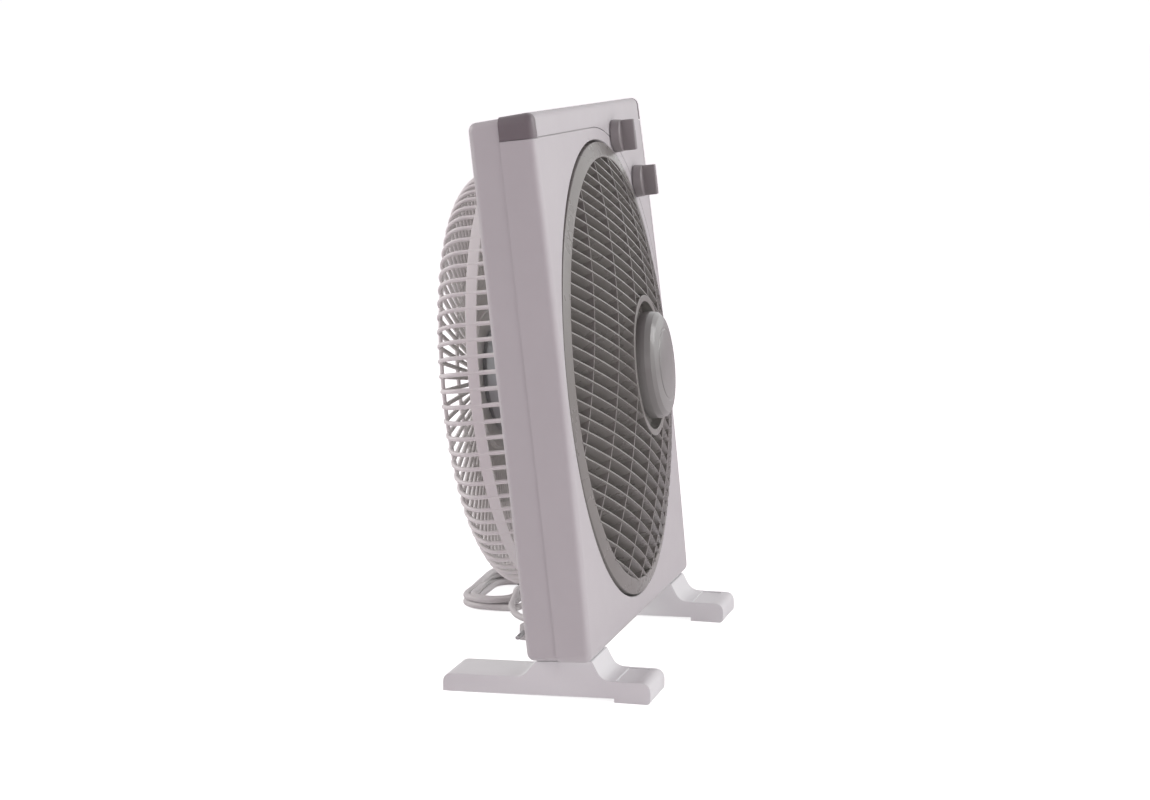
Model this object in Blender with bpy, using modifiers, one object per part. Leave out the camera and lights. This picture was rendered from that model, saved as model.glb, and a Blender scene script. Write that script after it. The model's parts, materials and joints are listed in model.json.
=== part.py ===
"""Box fan with a slowly turning louvre: a moulded square casing on two feet.

Metres. The fan stands on z = 0 with its front towards -Y and its right side, seen
from the front, towards +X. The casing and everything in it is drawn upright, with
y = 0 at the casing's front edge and z = 0 at its underside, and hangs from one
empty that leans the whole body back on the feet.
"""

import math

import bmesh
import bpy
from mathutils import Matrix, Vector

# ---------------------------------------------------------------- driving sizes
FIT = 0.0003                # gap between pieces that touch
RUN = 0.0005                # gap round pieces that turn

BODY_W = 0.3748             # casing width at the front
BODY_H = 0.400              # casing height at the front
BODY_D = 0.049              # casing depth at the sides
FRONT_D = 0.0255            # depth of the front shell, up to the seam
DRAFT = 0.003               # how far the rear edge stands in from the front edge
SEAM_STEP = 0.001           # the front shell stands proud of the rear one
CORNER_R = 0.007            # corners seen from the front
RIM_R = 0.006               # rounding between the faces and the sides
CROWN = 0.0025              # the front face bows forward by this much
WALL = 0.0028
FRONT_PLATE = 0.0032
REAR_PLATE = 0.0026
LEAN = math.radians(7.5)    # the body leans back on its feet
BODY_Z = 0.030              # height of the casing's lower front edge
AXIS_DROP = 0.0056          # the air axis sits this far below mid-height

SKIN = 0.0013               # thickness of the panel and of the corner caps
SKIN_POCKET = 0.0016        # depth of the pocket they sit in
PANEL_GAP = 0.0008          # the groove that shows round the panel
CAP_W = 0.010               # corner cap, measured along the front
PANEL_LIP = 0.0092          # the panel's edge stands this far out from the opening
PANEL_TIP = math.radians(18.0)  # the panel runs no lower than this, seen from the air axis
PANEL_WRAP = 0.011          # the panel runs back over the top by this much

LOUVRE_R = 0.1758
LOUVRE_GAP = 0.0017         # round the louvre, in the front shell's opening
DUCT_WALL = 0.0020
DUCT_D = 0.0164             # rear end of the front shell's duct
FLANGE_LIP = 0.0095         # the flange at the duct's rear reaches in by this much
FLANGE_T = 0.0024
LOUVRE_RIM_Y = -0.0023      # front of the louvre's outer rim
LOUVRE_REAR = 0.006
RIM_W = 0.0103              # width of the rim, outside the slats
COLLAR_Y = -0.0050          # front of the rim where the slats begin
HUB_R = 0.0546
HUB_FACE = -0.0262          # front face of the louvre's hub
SLAT_PITCH = 0.0235
SLAT_T = 0.0016
SLAT_DEPTH = 0.0095
SLAT_LEAN = 0.0034          # how far a slat's rear edge drops across its depth
RIB_PITCH = 0.086
RIB_T = 0.0018
LATTICE_TURN = math.radians(-22.5)

POST_R = 0.006
CAP_R = 0.0415              # centre cap

IMPELLER_R = 0.148
IMPELLER_Y = (0.0235, 0.0455)
IMPELLER_HUB_R = 0.036
BLADES = 5
SHAFT_R = 0.004
SHAFT_Y = (0.0180, 0.0925)

TIP_GAP = 0.0075            # between the blade tips and the intake
SHROUD_WALL = 0.0020
SHROUD_Y = 0.0225           # front end of the rear shell's shroud

GRILLE_SEAT = 0.0075        # the grille stands this far outside the intake
GRILLE_REAR = 0.102         # rear plane of the grille, at its rounded corner
GRILLE_CORNER = 0.020
GRILLE_DOME = 0.002         # the middle stands further out by this much
GRILLE_BAR = 0.0034
GRILLE_RIBS = 24
GRILLE_BAND = (0.0665, 0.075)
GRILLE_MID_RING = 0.097
PLATE_LIP = 0.012           # the plate that carries the motor is larger by this much

MOTOR_R = 0.042
MOTOR_FRONT = 0.050
MOTOR_SPLIT = 0.0735
MOTOR_WALL = 0.0020

KNOB_OUT = 0.0045           # the knobs stand on a circle this far outside the panel's edge
KNOB_ANGLES = (math.radians(68.0), math.radians(46.2))
KNOB_R = 0.0132
KNOB_BASE = 0.0075
KNOB_GRIP = 0.0175          # total height of a knob above the panel
KNOB_GRIP_T = 0.0062
SPINDLE_R = 0.003
CONTROL_D = 0.018           # depth of the switch and of the timer
CONTROL_HALF = (0.0094, 0.0120)  # half of their width and of their height

ROLLER_R = 0.008
ROLLER_ANGLE = math.radians(225.0)
ROLLER_Y = (0.0028, 0.0060)
SYNC_MOTOR_R = 0.020

FOOT_INSET = 0.0124         # from the casing's side to the outer face of a foot
FOOT_W = 0.052
FOOT_BACK = 0.1142          # from the casing's lower front edge back to the tail
FOOT_LENGTH = 0.156
FOOT_SCREW_Y = (0.014, 0.036)

CORD_R = 0.00275
HANK_CENTRE = (0.165, 0.155)    # from the casing's lower front edge, on the floor
HANK_RUN = 0.070            # straight part of the wound cord
HANK_END_R = 0.0255         # outer radius at its ends
HANK_H = 0.0120

AXIS_Z = BODY_H / 2 - AXIS_DROP
OPENING_R = LOUVRE_R + LOUVRE_GAP
COLLAR_R = LOUVRE_R - RIM_W
FLANGE_R = OPENING_R - FLANGE_LIP
PANEL_ARC_R = OPENING_R + PANEL_LIP
KNOB_RING_R = PANEL_ARC_R + KNOB_OUT
INTAKE_R = IMPELLER_R + TIP_GAP
GRILLE_R = INTAKE_R + GRILLE_SEAT
PLATE_R = MOTOR_R + PLATE_LIP
FOOT_X = BODY_W / 2 - FOOT_INSET
PANEL_Z = AXIS_Z + PANEL_ARC_R
GRILLE_TOP = AXIS_Z + GRILLE_R - GRILLE_CORNER
REAR_REACH = ((GRILLE_REAR - GRILLE_CORNER) * math.cos(LEAN) + GRILLE_TOP * math.sin(LEAN)
              + GRILLE_CORNER)
FRONT_REACH = FOOT_LENGTH - FOOT_BACK
BODY_Y = (FRONT_REACH - REAR_REACH) / 2     # centres the footprint on the origin

for old in list(bpy.data.objects):
    bpy.data.objects.remove(old, do_unlink=True)

fan = bpy.data.collections.new("box_fan")
cutters = bpy.data.collections.new("cutters")
bpy.context.scene.collection.children.link(fan)
bpy.context.scene.collection.children.link(cutters)

lean = bpy.data.objects.new("lean", None)
lean.location = (0.0, BODY_Y, BODY_Z)
lean.rotation_euler = (-LEAN, 0.0, 0.0)
fan.objects.link(lean)


# ---------------------------------------------------------------- materials
def material(name, color, roughness, metallic=0.0):
    """A Principled material for one kind of finish."""
    mat = bpy.data.materials.new(name)
    mat.use_nodes = True
    shader = mat.node_tree.nodes["Principled BSDF"]
    shader.inputs["Base Color"].default_value = (*color, 1.0)
    shader.inputs["Roughness"].default_value = roughness
    shader.inputs["Metallic"].default_value = metallic
    return mat


WHITE = material("white_plastic", (0.80, 0.79, 0.80), 0.38)
GRILLE_WHITE = material("grille_plastic", (0.72, 0.72, 0.70), 0.42)
GREY = material("louvre_grey_plastic", (0.21, 0.20, 0.20), 0.42)
DARK = material("dark_grey_plastic", (0.12, 0.10, 0.11), 0.40)
CAP_GREY = material("cap_grey_plastic", (0.24, 0.22, 0.22), 0.33)
BLADE = material("blade_plastic", (0.36, 0.35, 0.31), 0.30)
STEEL = material("bright_steel", (0.62, 0.62, 0.63), 0.28, 1.0)
IRON = material("motor_laminations", (0.20, 0.20, 0.22), 0.45, 1.0)
COPPER = material("enamelled_copper", (0.55, 0.22, 0.10), 0.35, 1.0)
BRONZE = material("oilite_bronze", (0.50, 0.34, 0.16), 0.40, 1.0)
CASTING = material("motor_cover_zinc", (0.56, 0.57, 0.59), 0.42, 1.0)
BLACK = material("black_plastic", (0.03, 0.03, 0.03), 0.45)
RUBBER = material("roller_rubber", (0.05, 0.05, 0.05), 0.80)
CORD_WHITE = material("cord_white", (0.72, 0.72, 0.71), 0.50)


# ---------------------------------------------------------------- helpers
def place(obj, mat, leaning):
    """Put an object in the fan, or among the cutters when it has no material."""
    if mat is None:
        cutters.objects.link(obj)
        obj.hide_render = True
        obj.display_type = "WIRE"
    else:
        fan.objects.link(obj)
        obj.data.materials.append(mat)
    if leaning:
        obj.parent = lean
    return obj


def from_bmesh(name, bm, mat, leaning=True, smooth=True):
    """A mesh object from a bmesh, with smooth round faces and sharp edges."""
    bmesh.ops.recalc_face_normals(bm, faces=bm.faces)
    mesh = bpy.data.meshes.new(name)
    bm.to_mesh(mesh)
    bm.free()
    if smooth:
        mesh.shade_smooth()
        mesh.set_sharp_from_angle(angle=math.radians(35.0))
    return place(bpy.data.objects.new(name, mesh), mat, leaning)


def block(name, low, high, mat=None, leaning=True, bevel=0.0):
    """A box between two corners, its edges rounded when bevel is given."""
    bm = bmesh.new()
    bmesh.ops.create_cube(bm, size=1.0)
    size = [b - a for a, b in zip(low, high)]
    middle = [(a + b) / 2 for a, b in zip(low, high)]
    bmesh.ops.scale(bm, vec=size, verts=bm.verts)
    bmesh.ops.translate(bm, vec=middle, verts=bm.verts)
    if bevel:
        bmesh.ops.bevel(bm, geom=bm.edges[:], offset=bevel, segments=2,
                        affect="EDGES", profile=0.5, clamp_overlap=True)
    return from_bmesh(name, bm, mat, leaning)


def rod(name, x, z, y0, y1, radius, mat=None, steps=24):
    """A cylinder along the casing's depth, from y0 back to y1."""
    bm = bmesh.new()
    bmesh.ops.create_cone(bm, cap_ends=True, segments=steps, radius1=radius,
                          radius2=radius, depth=y1 - y0,
                          matrix=Matrix.Rotation(-math.pi / 2, 4, "X"))
    bmesh.ops.translate(bm, vec=(x, (y0 + y1) / 2, z), verts=bm.verts)
    return from_bmesh(name, bm, mat)


def upright(name, x, y, z0, z1, radius, mat=None, steps=20):
    """A cylinder along the casing's height."""
    bm = bmesh.new()
    bmesh.ops.create_cone(bm, cap_ends=True, segments=steps, radius1=radius,
                          radius2=radius, depth=z1 - z0)
    bmesh.ops.translate(bm, vec=(x, y, (z0 + z1) / 2), verts=bm.verts)
    return from_bmesh(name, bm, mat)


def turned(name, profile, mat=None, steps=48, x=0.0, z=None, loop=True):
    """A turned piece about the casing's depth: (radius, y) points, whose outer
    side runs from the front to the rear; loop closes the profile on itself."""
    mesh = bpy.data.meshes.new(name)
    points = [(radius, 0.0, -y) for radius, y in profile]
    edges = [(i, i + 1) for i in range(len(points) - 1)]
    if loop:
        edges.append((len(points) - 1, 0))
    mesh.from_pydata(points, edges, [])
    obj = place(bpy.data.objects.new(name, mesh), mat, True)
    obj.location = (x, 0.0, AXIS_Z if z is None else z)
    obj.rotation_euler = (math.pi / 2, 0.0, 0.0)
    screw = obj.modifiers.new("turn", "SCREW")
    screw.axis = "Z"
    screw.steps = steps
    screw.render_steps = steps
    screw.use_merge_vertices = True
    screw.merge_threshold = 0.00002
    screw.use_smooth_shade = False
    return obj


def boolean(target, other, operation):
    """Cut, join or keep: a live exact Boolean on target."""
    mod = target.modifiers.new(operation.lower(), "BOOLEAN")
    mod.operation = operation
    mod.solver = "EXACT"
    mod.object = other
    return target


def cut(target, *others):
    """Take the others away from target."""
    for other in others:
        boolean(target, other, "DIFFERENCE")
    return target


def join(target, *others):
    """Weld the others to target."""
    for other in others:
        boolean(target, other, "UNION")
    return target


def keep(target, other):
    """Leave only what target and other share."""
    return boolean(target, other, "INTERSECT")


def rounded(corners, steps=4):
    """Points of a closed outline whose corners (a, b, radius) are rounded."""
    points = []
    count = len(corners)
    for i, (a, b, radius) in enumerate(corners):
        here = Vector((a, b))
        if radius <= 0:
            points.append(here)
            continue
        before = Vector(corners[i - 1][:2]) - here
        after = Vector(corners[(i + 1) % count][:2]) - here
        half = before.angle(after) / 2
        reach = radius / math.tan(half)
        centre = here + (before.normalized() + after.normalized()).normalized() * (
            radius / math.sin(half))
        start = here + before.normalized() * reach - centre
        end = here + after.normalized() * reach - centre
        sweep = start.angle_signed(end)
        for k in range(steps + 1):
            turn = -sweep * k / steps
            points.append(centre + Vector((
                start.x * math.cos(turn) - start.y * math.sin(turn),
                start.x * math.sin(turn) + start.y * math.cos(turn))))
    return points


def arc(centre, radius, start, end, steps):
    """Points on an arc, both ends included, angles in radians."""
    return [(centre[0] + radius * math.cos(start + (end - start) * k / steps),
             centre[1] + radius * math.sin(start + (end - start) * k / steps))
            for k in range(steps + 1)]


def slab(name, outline, thickness, matrix, mat=None, leaning=True, bevel=0.0):
    """A flat outline given thickness: a filled 2D curve made into a mesh."""
    curve = bpy.data.curves.new(name, "CURVE")
    curve.dimensions = "2D"
    curve.fill_mode = "BOTH"
    curve.extrude = thickness / 2
    spline = curve.splines.new("POLY")
    spline.points.add(len(outline) - 1)
    for point, (a, b) in zip(spline.points, outline):
        point.co = (a, b, 0.0, 1.0)
    spline.use_cyclic_u = True
    source = bpy.data.objects.new(name + "_curve", curve)
    bpy.context.scene.collection.objects.link(source)
    graph = bpy.context.evaluated_depsgraph_get()
    mesh = bpy.data.meshes.new_from_object(source.evaluated_get(graph))
    bpy.data.objects.remove(source, do_unlink=True)
    bpy.data.curves.remove(curve)
    bm = bmesh.new()
    bm.from_mesh(mesh)
    bpy.data.meshes.remove(mesh)
    bmesh.ops.remove_doubles(bm, verts=bm.verts, dist=0.00001)
    bmesh.ops.dissolve_limit(bm, angle_limit=0.001, verts=bm.verts, edges=bm.edges)
    if bevel:
        rim = [e for e in bm.edges if abs(e.verts[0].co.z - e.verts[1].co.z) < 1e-6]
        bmesh.ops.bevel(bm, geom=rim, offset=bevel, segments=1, affect="EDGES",
                        clamp_overlap=True)
    bmesh.ops.transform(bm, matrix=matrix, verts=bm.verts)
    return from_bmesh(name, bm, mat, leaning)


def facing(y):
    """Turns an (x, z) outline upright, centred on depth y."""
    return Matrix.Translation((0.0, y, 0.0)) @ Matrix.Rotation(math.pi / 2, 4, "X")


def loft(bm, sections):
    """Skins a closed bar over sections that have the same number of corners."""
    rings = [[bm.verts.new(point) for point in section] for section in sections]
    count = len(rings[0])
    for one, two in zip(rings, rings[1:]):
        for k in range(count):
            bm.faces.new((one[k], one[(k + 1) % count], two[(k + 1) % count], two[k]))
    bm.faces.new(rings[0][::-1])
    bm.faces.new(rings[-1])


def screw_piece(name, x, z, head_y, tip_y, head_r, shank_r):
    """A pan-head screw along the depth, its head at head_y and its tip at tip_y."""
    sign = 1.0 if head_y > tip_y else -1.0
    head_h = head_r * 0.62
    outer = [(head_r * 0.55, head_y + sign * head_h), (head_r, head_y + sign * head_h * 0.45),
             (head_r, head_y), (shank_r, head_y), (shank_r, tip_y + sign * shank_r)]
    profile = [(0.0, head_y + sign * head_h), *outer, (0.0, tip_y)]
    if sign > 0:
        profile.reverse()
    return turned(name, profile, STEEL, steps=10, x=x, z=z, loop=False)


def screw_up(name, x, y, head_z, tip_z, head_r, shank_r):
    """A pan-head screw that stands upright in the casing, its head below."""
    profile = [(0.0, tip_z), (shank_r, tip_z - shank_r), (shank_r, head_z),
               (head_r, head_z), (head_r, head_z - head_r * 0.35),
               (head_r * 0.55, head_z - head_r * 0.62), (0.0, head_z - head_r * 0.62)]
    obj = turned(name, [(r, -z) for r, z in profile], STEEL, steps=10, loop=False)
    obj.location = (x, y, 0.0)
    obj.rotation_euler = (0.0, 0.0, 0.0)


def crown_y(z):
    """Depth of the front face's surface at height z on the casing."""
    t = (z - BODY_H / 2) / (BODY_H / 2)
    return -CROWN * max(0.0, 1.0 - t * t)


def polar(radius, angle):
    """(x, z) on the casing at a radius and angle about the air axis."""
    return radius * math.cos(angle), AXIS_Z + radius * math.sin(angle)


def casing_form(name, inset, y0, y1, front_rim=0.0, rear_rim=0.0, mat=None):
    """The casing's solid outline between two depths, drawn in by inset."""
    bm = bmesh.new()
    bmesh.ops.create_cube(bm, size=2.0)
    for vert in bm.verts:
        y = y0 if vert.co.y < 0 else y1
        draft = inset + DRAFT * max(0.0, y) / BODY_D
        vert.co = (math.copysign(BODY_W / 2 - draft, vert.co.x), y,
                   BODY_H - draft if vert.co.z > 0 else draft)
    corner = max(CORNER_R - inset, 0.002)
    along = [e for e in bm.edges if abs(e.verts[0].co.y - e.verts[1].co.y) > 1e-6]
    bmesh.ops.bevel(bm, geom=along, offset=corner, segments=3, affect="EDGES",
                    profile=0.5)
    for rim, y in ((front_rim, y0), (rear_rim, y1)):
        if rim:
            edges = [e for e in bm.edges
                     if all(abs(v.co.y - y) < 1e-6 for v in e.verts)]
            bmesh.ops.bevel(bm, geom=edges, offset=rim, segments=3, affect="EDGES",
                            profile=0.5)
    if front_rim:
        for k in range(1, 8):
            bmesh.ops.bisect_plane(bm, geom=bm.verts[:] + bm.edges[:] + bm.faces[:],
                                   plane_co=(0.0, 0.0, BODY_H * k / 8),
                                   plane_no=(0.0, 0.0, 1.0), dist=1e-6)
        for vert in bm.verts:
            if vert.co.y < y0 + front_rim + 1e-5:
                vert.co.y += crown_y(vert.co.z)
    return from_bmesh(name, bm, mat)


# ---------------------------------------------------------------- casing
seam_y = FRONT_D
rear_y0 = FRONT_D + FIT
knob_spots = [polar(KNOB_RING_R, angle) for angle in KNOB_ANGLES]
boss_x = BODY_W / 2 - 0.014
boss_spots = [(sx * boss_x, z) for sx in (-1, 1) for z in (0.014, BODY_H - 0.014)]
foot_mid = FOOT_X - FOOT_W / 2
roller_x, roller_z = polar(LOUVRE_R + ROLLER_R + FIT, ROLLER_ANGLE)
cap_x = BODY_W / 2 - CAP_W


def cap_region(name, sign, gap):
    """The block of space that a corner cap takes from the front shell."""
    low_x, high_x = sorted((sign * (cap_x + gap), sign * (BODY_W / 2 + 0.002)))
    return block(name, (low_x, -0.01, PANEL_Z + gap), (high_x, seam_y + 0.001, BODY_H + 0.002))


def panel_region(name, gap):
    """The panel's outline: a strip along the top that widens round the louvre."""
    right = cap_x - gap
    radius = PANEL_ARC_R + gap
    start = math.acos(min(right / radius, math.cos(PANEL_TIP)))
    points = [(right, BODY_H + 0.002), (-right, BODY_H + 0.002), (-right, PANEL_Z + gap)]
    points += [(x, AXIS_Z + z) for x, z in
               arc((0.0, 0.0), radius, math.pi / 2, start, 16)]
    if points[-1][0] < right - FIT:
        points.append((right, points[-1][1]))
    depth = PANEL_WRAP - gap + 0.01
    return slab(name, points, depth, facing(-0.01 + depth / 2))


inner_front = casing_form("inner_front", WALL, FRONT_PLATE, seam_y + 0.002,
                          front_rim=RIM_R - WALL)
skin_core = casing_form("skin_core", SKIN, SKIN, seam_y + 0.002, front_rim=RIM_R - SKIN)
pocket_core = casing_form("pocket_core", SKIN_POCKET, SKIN_POCKET, seam_y + 0.002,
                          front_rim=RIM_R - SKIN_POCKET)

front_shell = casing_form("front_shell", 0.0, 0.0, seam_y, front_rim=RIM_R, mat=WHITE)
cut(front_shell, inner_front)
join(front_shell, rod("duct_form", 0, AXIS_Z, 0.0002, DUCT_D, OPENING_R + DUCT_WALL, steps=48))
for i, (x, z) in enumerate(boss_spots):
    join(front_shell, rod(f"front_boss_{i}", x, z, 0.0005, seam_y - 0.0006, 0.0045, steps=16))
    cut(front_shell, rod(f"front_boss_hole_{i}", x, z, 0.0080, seam_y + 0.01, 0.0018, steps=12))
for i, sx in enumerate((-1, 1)):
    x = sx * foot_mid
    join(front_shell, upright(f"front_foot_boss_{i}", x, FOOT_SCREW_Y[0], 0.001, 0.013, 0.0042,
                              steps=12))
    cut(front_shell, upright(f"front_foot_hole_{i}", x, FOOT_SCREW_Y[0], -0.002, 0.011, 0.0020,
                             steps=12))
duct_bore = [(OPENING_R, -0.010), (OPENING_R, DUCT_D - FLANGE_T),
             (FLANGE_R, DUCT_D - FLANGE_T), (FLANGE_R, 0.022), (0.0, 0.022)]
cut(front_shell, turned("duct_bore", [(0.0, -0.010), *duct_bore], None, steps=48, loop=False))
cut(front_shell, rod("roller_window", roller_x, roller_z, 0.0024, 0.0068, ROLLER_R + 0.0008,
                     steps=16))
for i, (x, z) in enumerate(knob_spots):
    cut(front_shell, rod(f"shell_spindle_hole_{i}", x, z, -0.01, 0.012, SPINDLE_R + 0.0008,
                         steps=16))
skin_space = join(panel_region("skin_space", 0.0), cap_region("cap_space_left", -1, -FIT),
                  cap_region("cap_space_right", 1, -FIT))
cut(front_shell, cut(skin_space, pocket_core))

for side, sign in (("left", -1), ("right", 1)):
    corner = casing_form("corner_cap_" + side, 0.0, 0.0, seam_y, front_rim=RIM_R, mat=DARK)
    cut(keep(corner, cap_region("cap_body_" + side, sign, FIT)), skin_core)

panel = casing_form("control_panel", 0.0, 0.0, seam_y, front_rim=RIM_R, mat=WHITE)
cut(keep(panel, panel_region("panel_body", PANEL_GAP)), skin_core)
for i, (x, z) in enumerate(knob_spots):
    cut(panel, rod(f"panel_spindle_hole_{i}", x, z, -0.01, 0.012, SPINDLE_R + 0.0008, steps=16))

rear_shell = casing_form("rear_shell", SEAM_STEP, rear_y0, BODY_D, rear_rim=RIM_R - SEAM_STEP,
                         mat=WHITE)
cut(rear_shell, casing_form("inner_rear", SEAM_STEP + WALL, rear_y0 - 0.002,
                            BODY_D - REAR_PLATE, rear_rim=RIM_R - WALL - SEAM_STEP))
join(rear_shell, rod("shroud_form", 0, AXIS_Z, SHROUD_Y, BODY_D - 0.001,
                     INTAKE_R + SHROUD_WALL, steps=48))
grille_screw_spots = [polar(GRILLE_R - 0.003, math.radians(45 + 90 * k)) for k in range(4)]
for i, (x, z) in enumerate(grille_screw_spots):
    join(rear_shell, rod(f"grille_boss_{i}", x, z, 0.036, BODY_D - 0.0012, 0.0042, steps=12))
for i, (x, z) in enumerate(boss_spots):
    join(rear_shell, rod(f"rear_boss_{i}", x, z, rear_y0 - 0.0004, BODY_D - 0.0012, 0.0055,
                         steps=16))
for i, sx in enumerate((-1, 1)):
    join(rear_shell, upright(f"rear_foot_boss_{i}", sx * foot_mid, FOOT_SCREW_Y[1], 0.005, 0.013,
                             0.0042, steps=12))
cut(rear_shell, rod("intake_bore", 0, AXIS_Z, SHROUD_Y - 0.01, BODY_D + 0.01, INTAKE_R, steps=48))
for i, (x, z) in enumerate(grille_screw_spots):
    cut(rear_shell, rod(f"grille_boss_hole_{i}", x, z, 0.039, BODY_D + 0.01, 0.0018, steps=12))
for i, (x, z) in enumerate(boss_spots):
    cut(rear_shell, rod(f"rear_boss_hole_{i}", x, z, 0.02, 0.036, 0.0020, steps=12))
    cut(rear_shell, rod(f"rear_boss_sink_{i}", x, z, 0.034, BODY_D + 0.01, 0.0040, steps=12))
for i, sx in enumerate((-1, 1)):
    cut(rear_shell, upright(f"rear_foot_hole_{i}", sx * foot_mid, FOOT_SCREW_Y[1], -0.002, 0.011,
                            0.0020, steps=12))
RELIEF = (0.115, 0.044)
cut(rear_shell, rod("relief_hole", *RELIEF, 0.04, BODY_D + 0.01, 0.0045, steps=16))

for i, (x, z) in enumerate(boss_spots):
    screw_piece(f"shell_screw_{i + 1}", x, z, 0.0343, 0.0120, 0.0034, 0.0015)
for i, (x, z) in enumerate(grille_screw_spots):
    screw_piece(f"grille_screw_{i + 1}", x, z, 0.0526, 0.0410, 0.0030, 0.0015)

# ---------------------------------------------------------------- louvre
dome_k = (COLLAR_Y - HUB_FACE) / (COLLAR_R ** 2 - HUB_R ** 2)


def dome_y(radius):
    """Depth of the louvre's bowed front at a radius from the air axis."""
    return HUB_FACE + dome_k * (radius ** 2 - HUB_R ** 2)


def lattice_point(u, v, y):
    """A point on the turned lattice: u along the slats, v across them."""
    c, s = math.cos(LATTICE_TURN), math.sin(LATTICE_TURN)
    return (u * c - v * s, y, AXIS_Z + u * s + v * c)


def stations(start, end, pitch=RIB_PITCH):
    """Places along a bar: its ends and every crossing between them."""
    first = math.ceil((start + 0.006) / pitch)
    last = math.floor((end - 0.006) / pitch)
    return [start] + [k * pitch for k in range(first, last + 1)] + [end]


def spans(offset, outer, inner):
    """A bar's two ends on one line: across the hub it becomes two bars."""
    reach = math.sqrt(outer ** 2 - offset ** 2)
    if abs(offset) >= inner:
        return [(-reach, reach)]
    gap = math.sqrt(inner ** 2 - offset ** 2)
    return [(-reach, -gap), (gap, reach)]


bar_outer = COLLAR_R - 0.001
bar_inner = HUB_R - 0.001
slats = bmesh.new()
count = int((bar_outer - SLAT_PITCH / 2) / SLAT_PITCH)
for i in range(-count, count + 1):
    v = i * SLAT_PITCH
    for start, end in spans(v, bar_outer, bar_inner):
        sections = []
        for u in stations(start, end):
            y = dome_y(max(math.hypot(u, v), HUB_R)) + 0.0004
            half = SLAT_T / 2
            sections.append([
                lattice_point(u, v - half, y), lattice_point(u, v + half, y),
                lattice_point(u, v + half - SLAT_LEAN, y + SLAT_DEPTH),
                lattice_point(u, v - half - SLAT_LEAN, y + SLAT_DEPTH)])
        loft(slats, sections)
slats = from_bmesh("louvre_slats", slats, None)
ribs = bmesh.new()
for i in (-1, 0, 1):
    u = i * RIB_PITCH
    for start, end in spans(u, bar_outer, bar_inner):
        sections = []
        for v in stations(start, end):
            y = dome_y(max(math.hypot(u, v), HUB_R)) + 0.0018
            half = RIB_T / 2
            sections.append([
                lattice_point(u + half, v, y), lattice_point(u - half, v, y),
                lattice_point(u - half, v, y + 0.0066), lattice_point(u + half, v, y + 0.0066)])
        loft(ribs, sections)
ribs = from_bmesh("louvre_ribs", ribs, None)
rim_t = 0.0020
louvre = turned("louvre", [
    (COLLAR_R, COLLAR_Y), (LOUVRE_R, LOUVRE_RIM_Y), (LOUVRE_R, LOUVRE_REAR),
    (LOUVRE_R - rim_t, LOUVRE_REAR), (LOUVRE_R - rim_t, LOUVRE_RIM_Y + 0.0016),
    (COLLAR_R, COLLAR_Y + 0.0025), (COLLAR_R, 0.0026), (COLLAR_R - rim_t, 0.0026),
    (COLLAR_R - rim_t, COLLAR_Y - 0.0003)], GREY, steps=48)
louvre_hub = turned("louvre_hub", [
    (HUB_R, HUB_FACE), (HUB_R, -0.0155), (0.0095, -0.0155), (0.0095, -0.0090),
    (POST_R + FIT, -0.0090), (POST_R + FIT, -0.0230), (0.0095, -0.0230), (0.0095, -0.0177),
    (HUB_R - 0.003, -0.0177), (HUB_R - 0.005, HUB_FACE)], None, steps=28)
join(louvre, louvre_hub, slats, ribs)

spider_r = OPENING_R - 0.0065
arm_r = OPENING_R - 0.0040
spider = turned("louvre_spider", [
    (OPENING_R - FIT, 0.0094), (OPENING_R - FIT, 0.0137), (spider_r, 0.0137),
    (spider_r, 0.0094)], GREY, steps=48)
post = turned("spider_post", [
    (0.0, -0.0233), (POST_R, -0.0233), (POST_R, -0.0087), (0.0088, -0.0087), (0.0088, 0.0020),
    (0.0140, 0.0050), (0.0140, 0.0130), (0.0, 0.0130)], None, steps=24, loop=False)
join(spider, post)
for i, turn in enumerate((math.pi / 4, -math.pi / 4)):
    arm = block(f"spider_arm_{i}", (-arm_r, 0.0086, -0.0026), (arm_r, 0.0126, 0.0026))
    arm.rotation_euler = (0.0, turn, 0.0)
    arm.location = (0.0, 0.0, AXIS_Z)
    join(spider, arm)
cut(spider, rod("post_screw_hole", 0, AXIS_Z, -0.03, -0.0130, 0.0020, steps=12))
carrier_r = CAP_R - 0.0023
turned("cap_carrier", [(carrier_r, -0.0252), (carrier_r, -0.0236), (0.0021, -0.0236),
                       (0.0021, -0.0252)], GREY, steps=28)
screw_piece("louvre_screw", 0.0, AXIS_Z, -0.0255, -0.0150, 0.0038, 0.0017)
turned("centre_cap", [
    (0.0, -0.0412), (CAP_R - 0.0140, -0.0398), (CAP_R - 0.0050, -0.0384),
    (CAP_R - 0.0008, -0.0352), (CAP_R, -0.0310), (CAP_R, -0.0240), (CAP_R - 0.0020, -0.0240),
    (CAP_R - 0.0020, -0.0308), (CAP_R - 0.0028, -0.0340), (CAP_R - 0.0060, -0.0362),
    (CAP_R - 0.0145, -0.0376), (0.0, -0.0390)],
    CAP_GREY, steps=28, loop=False)

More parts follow.
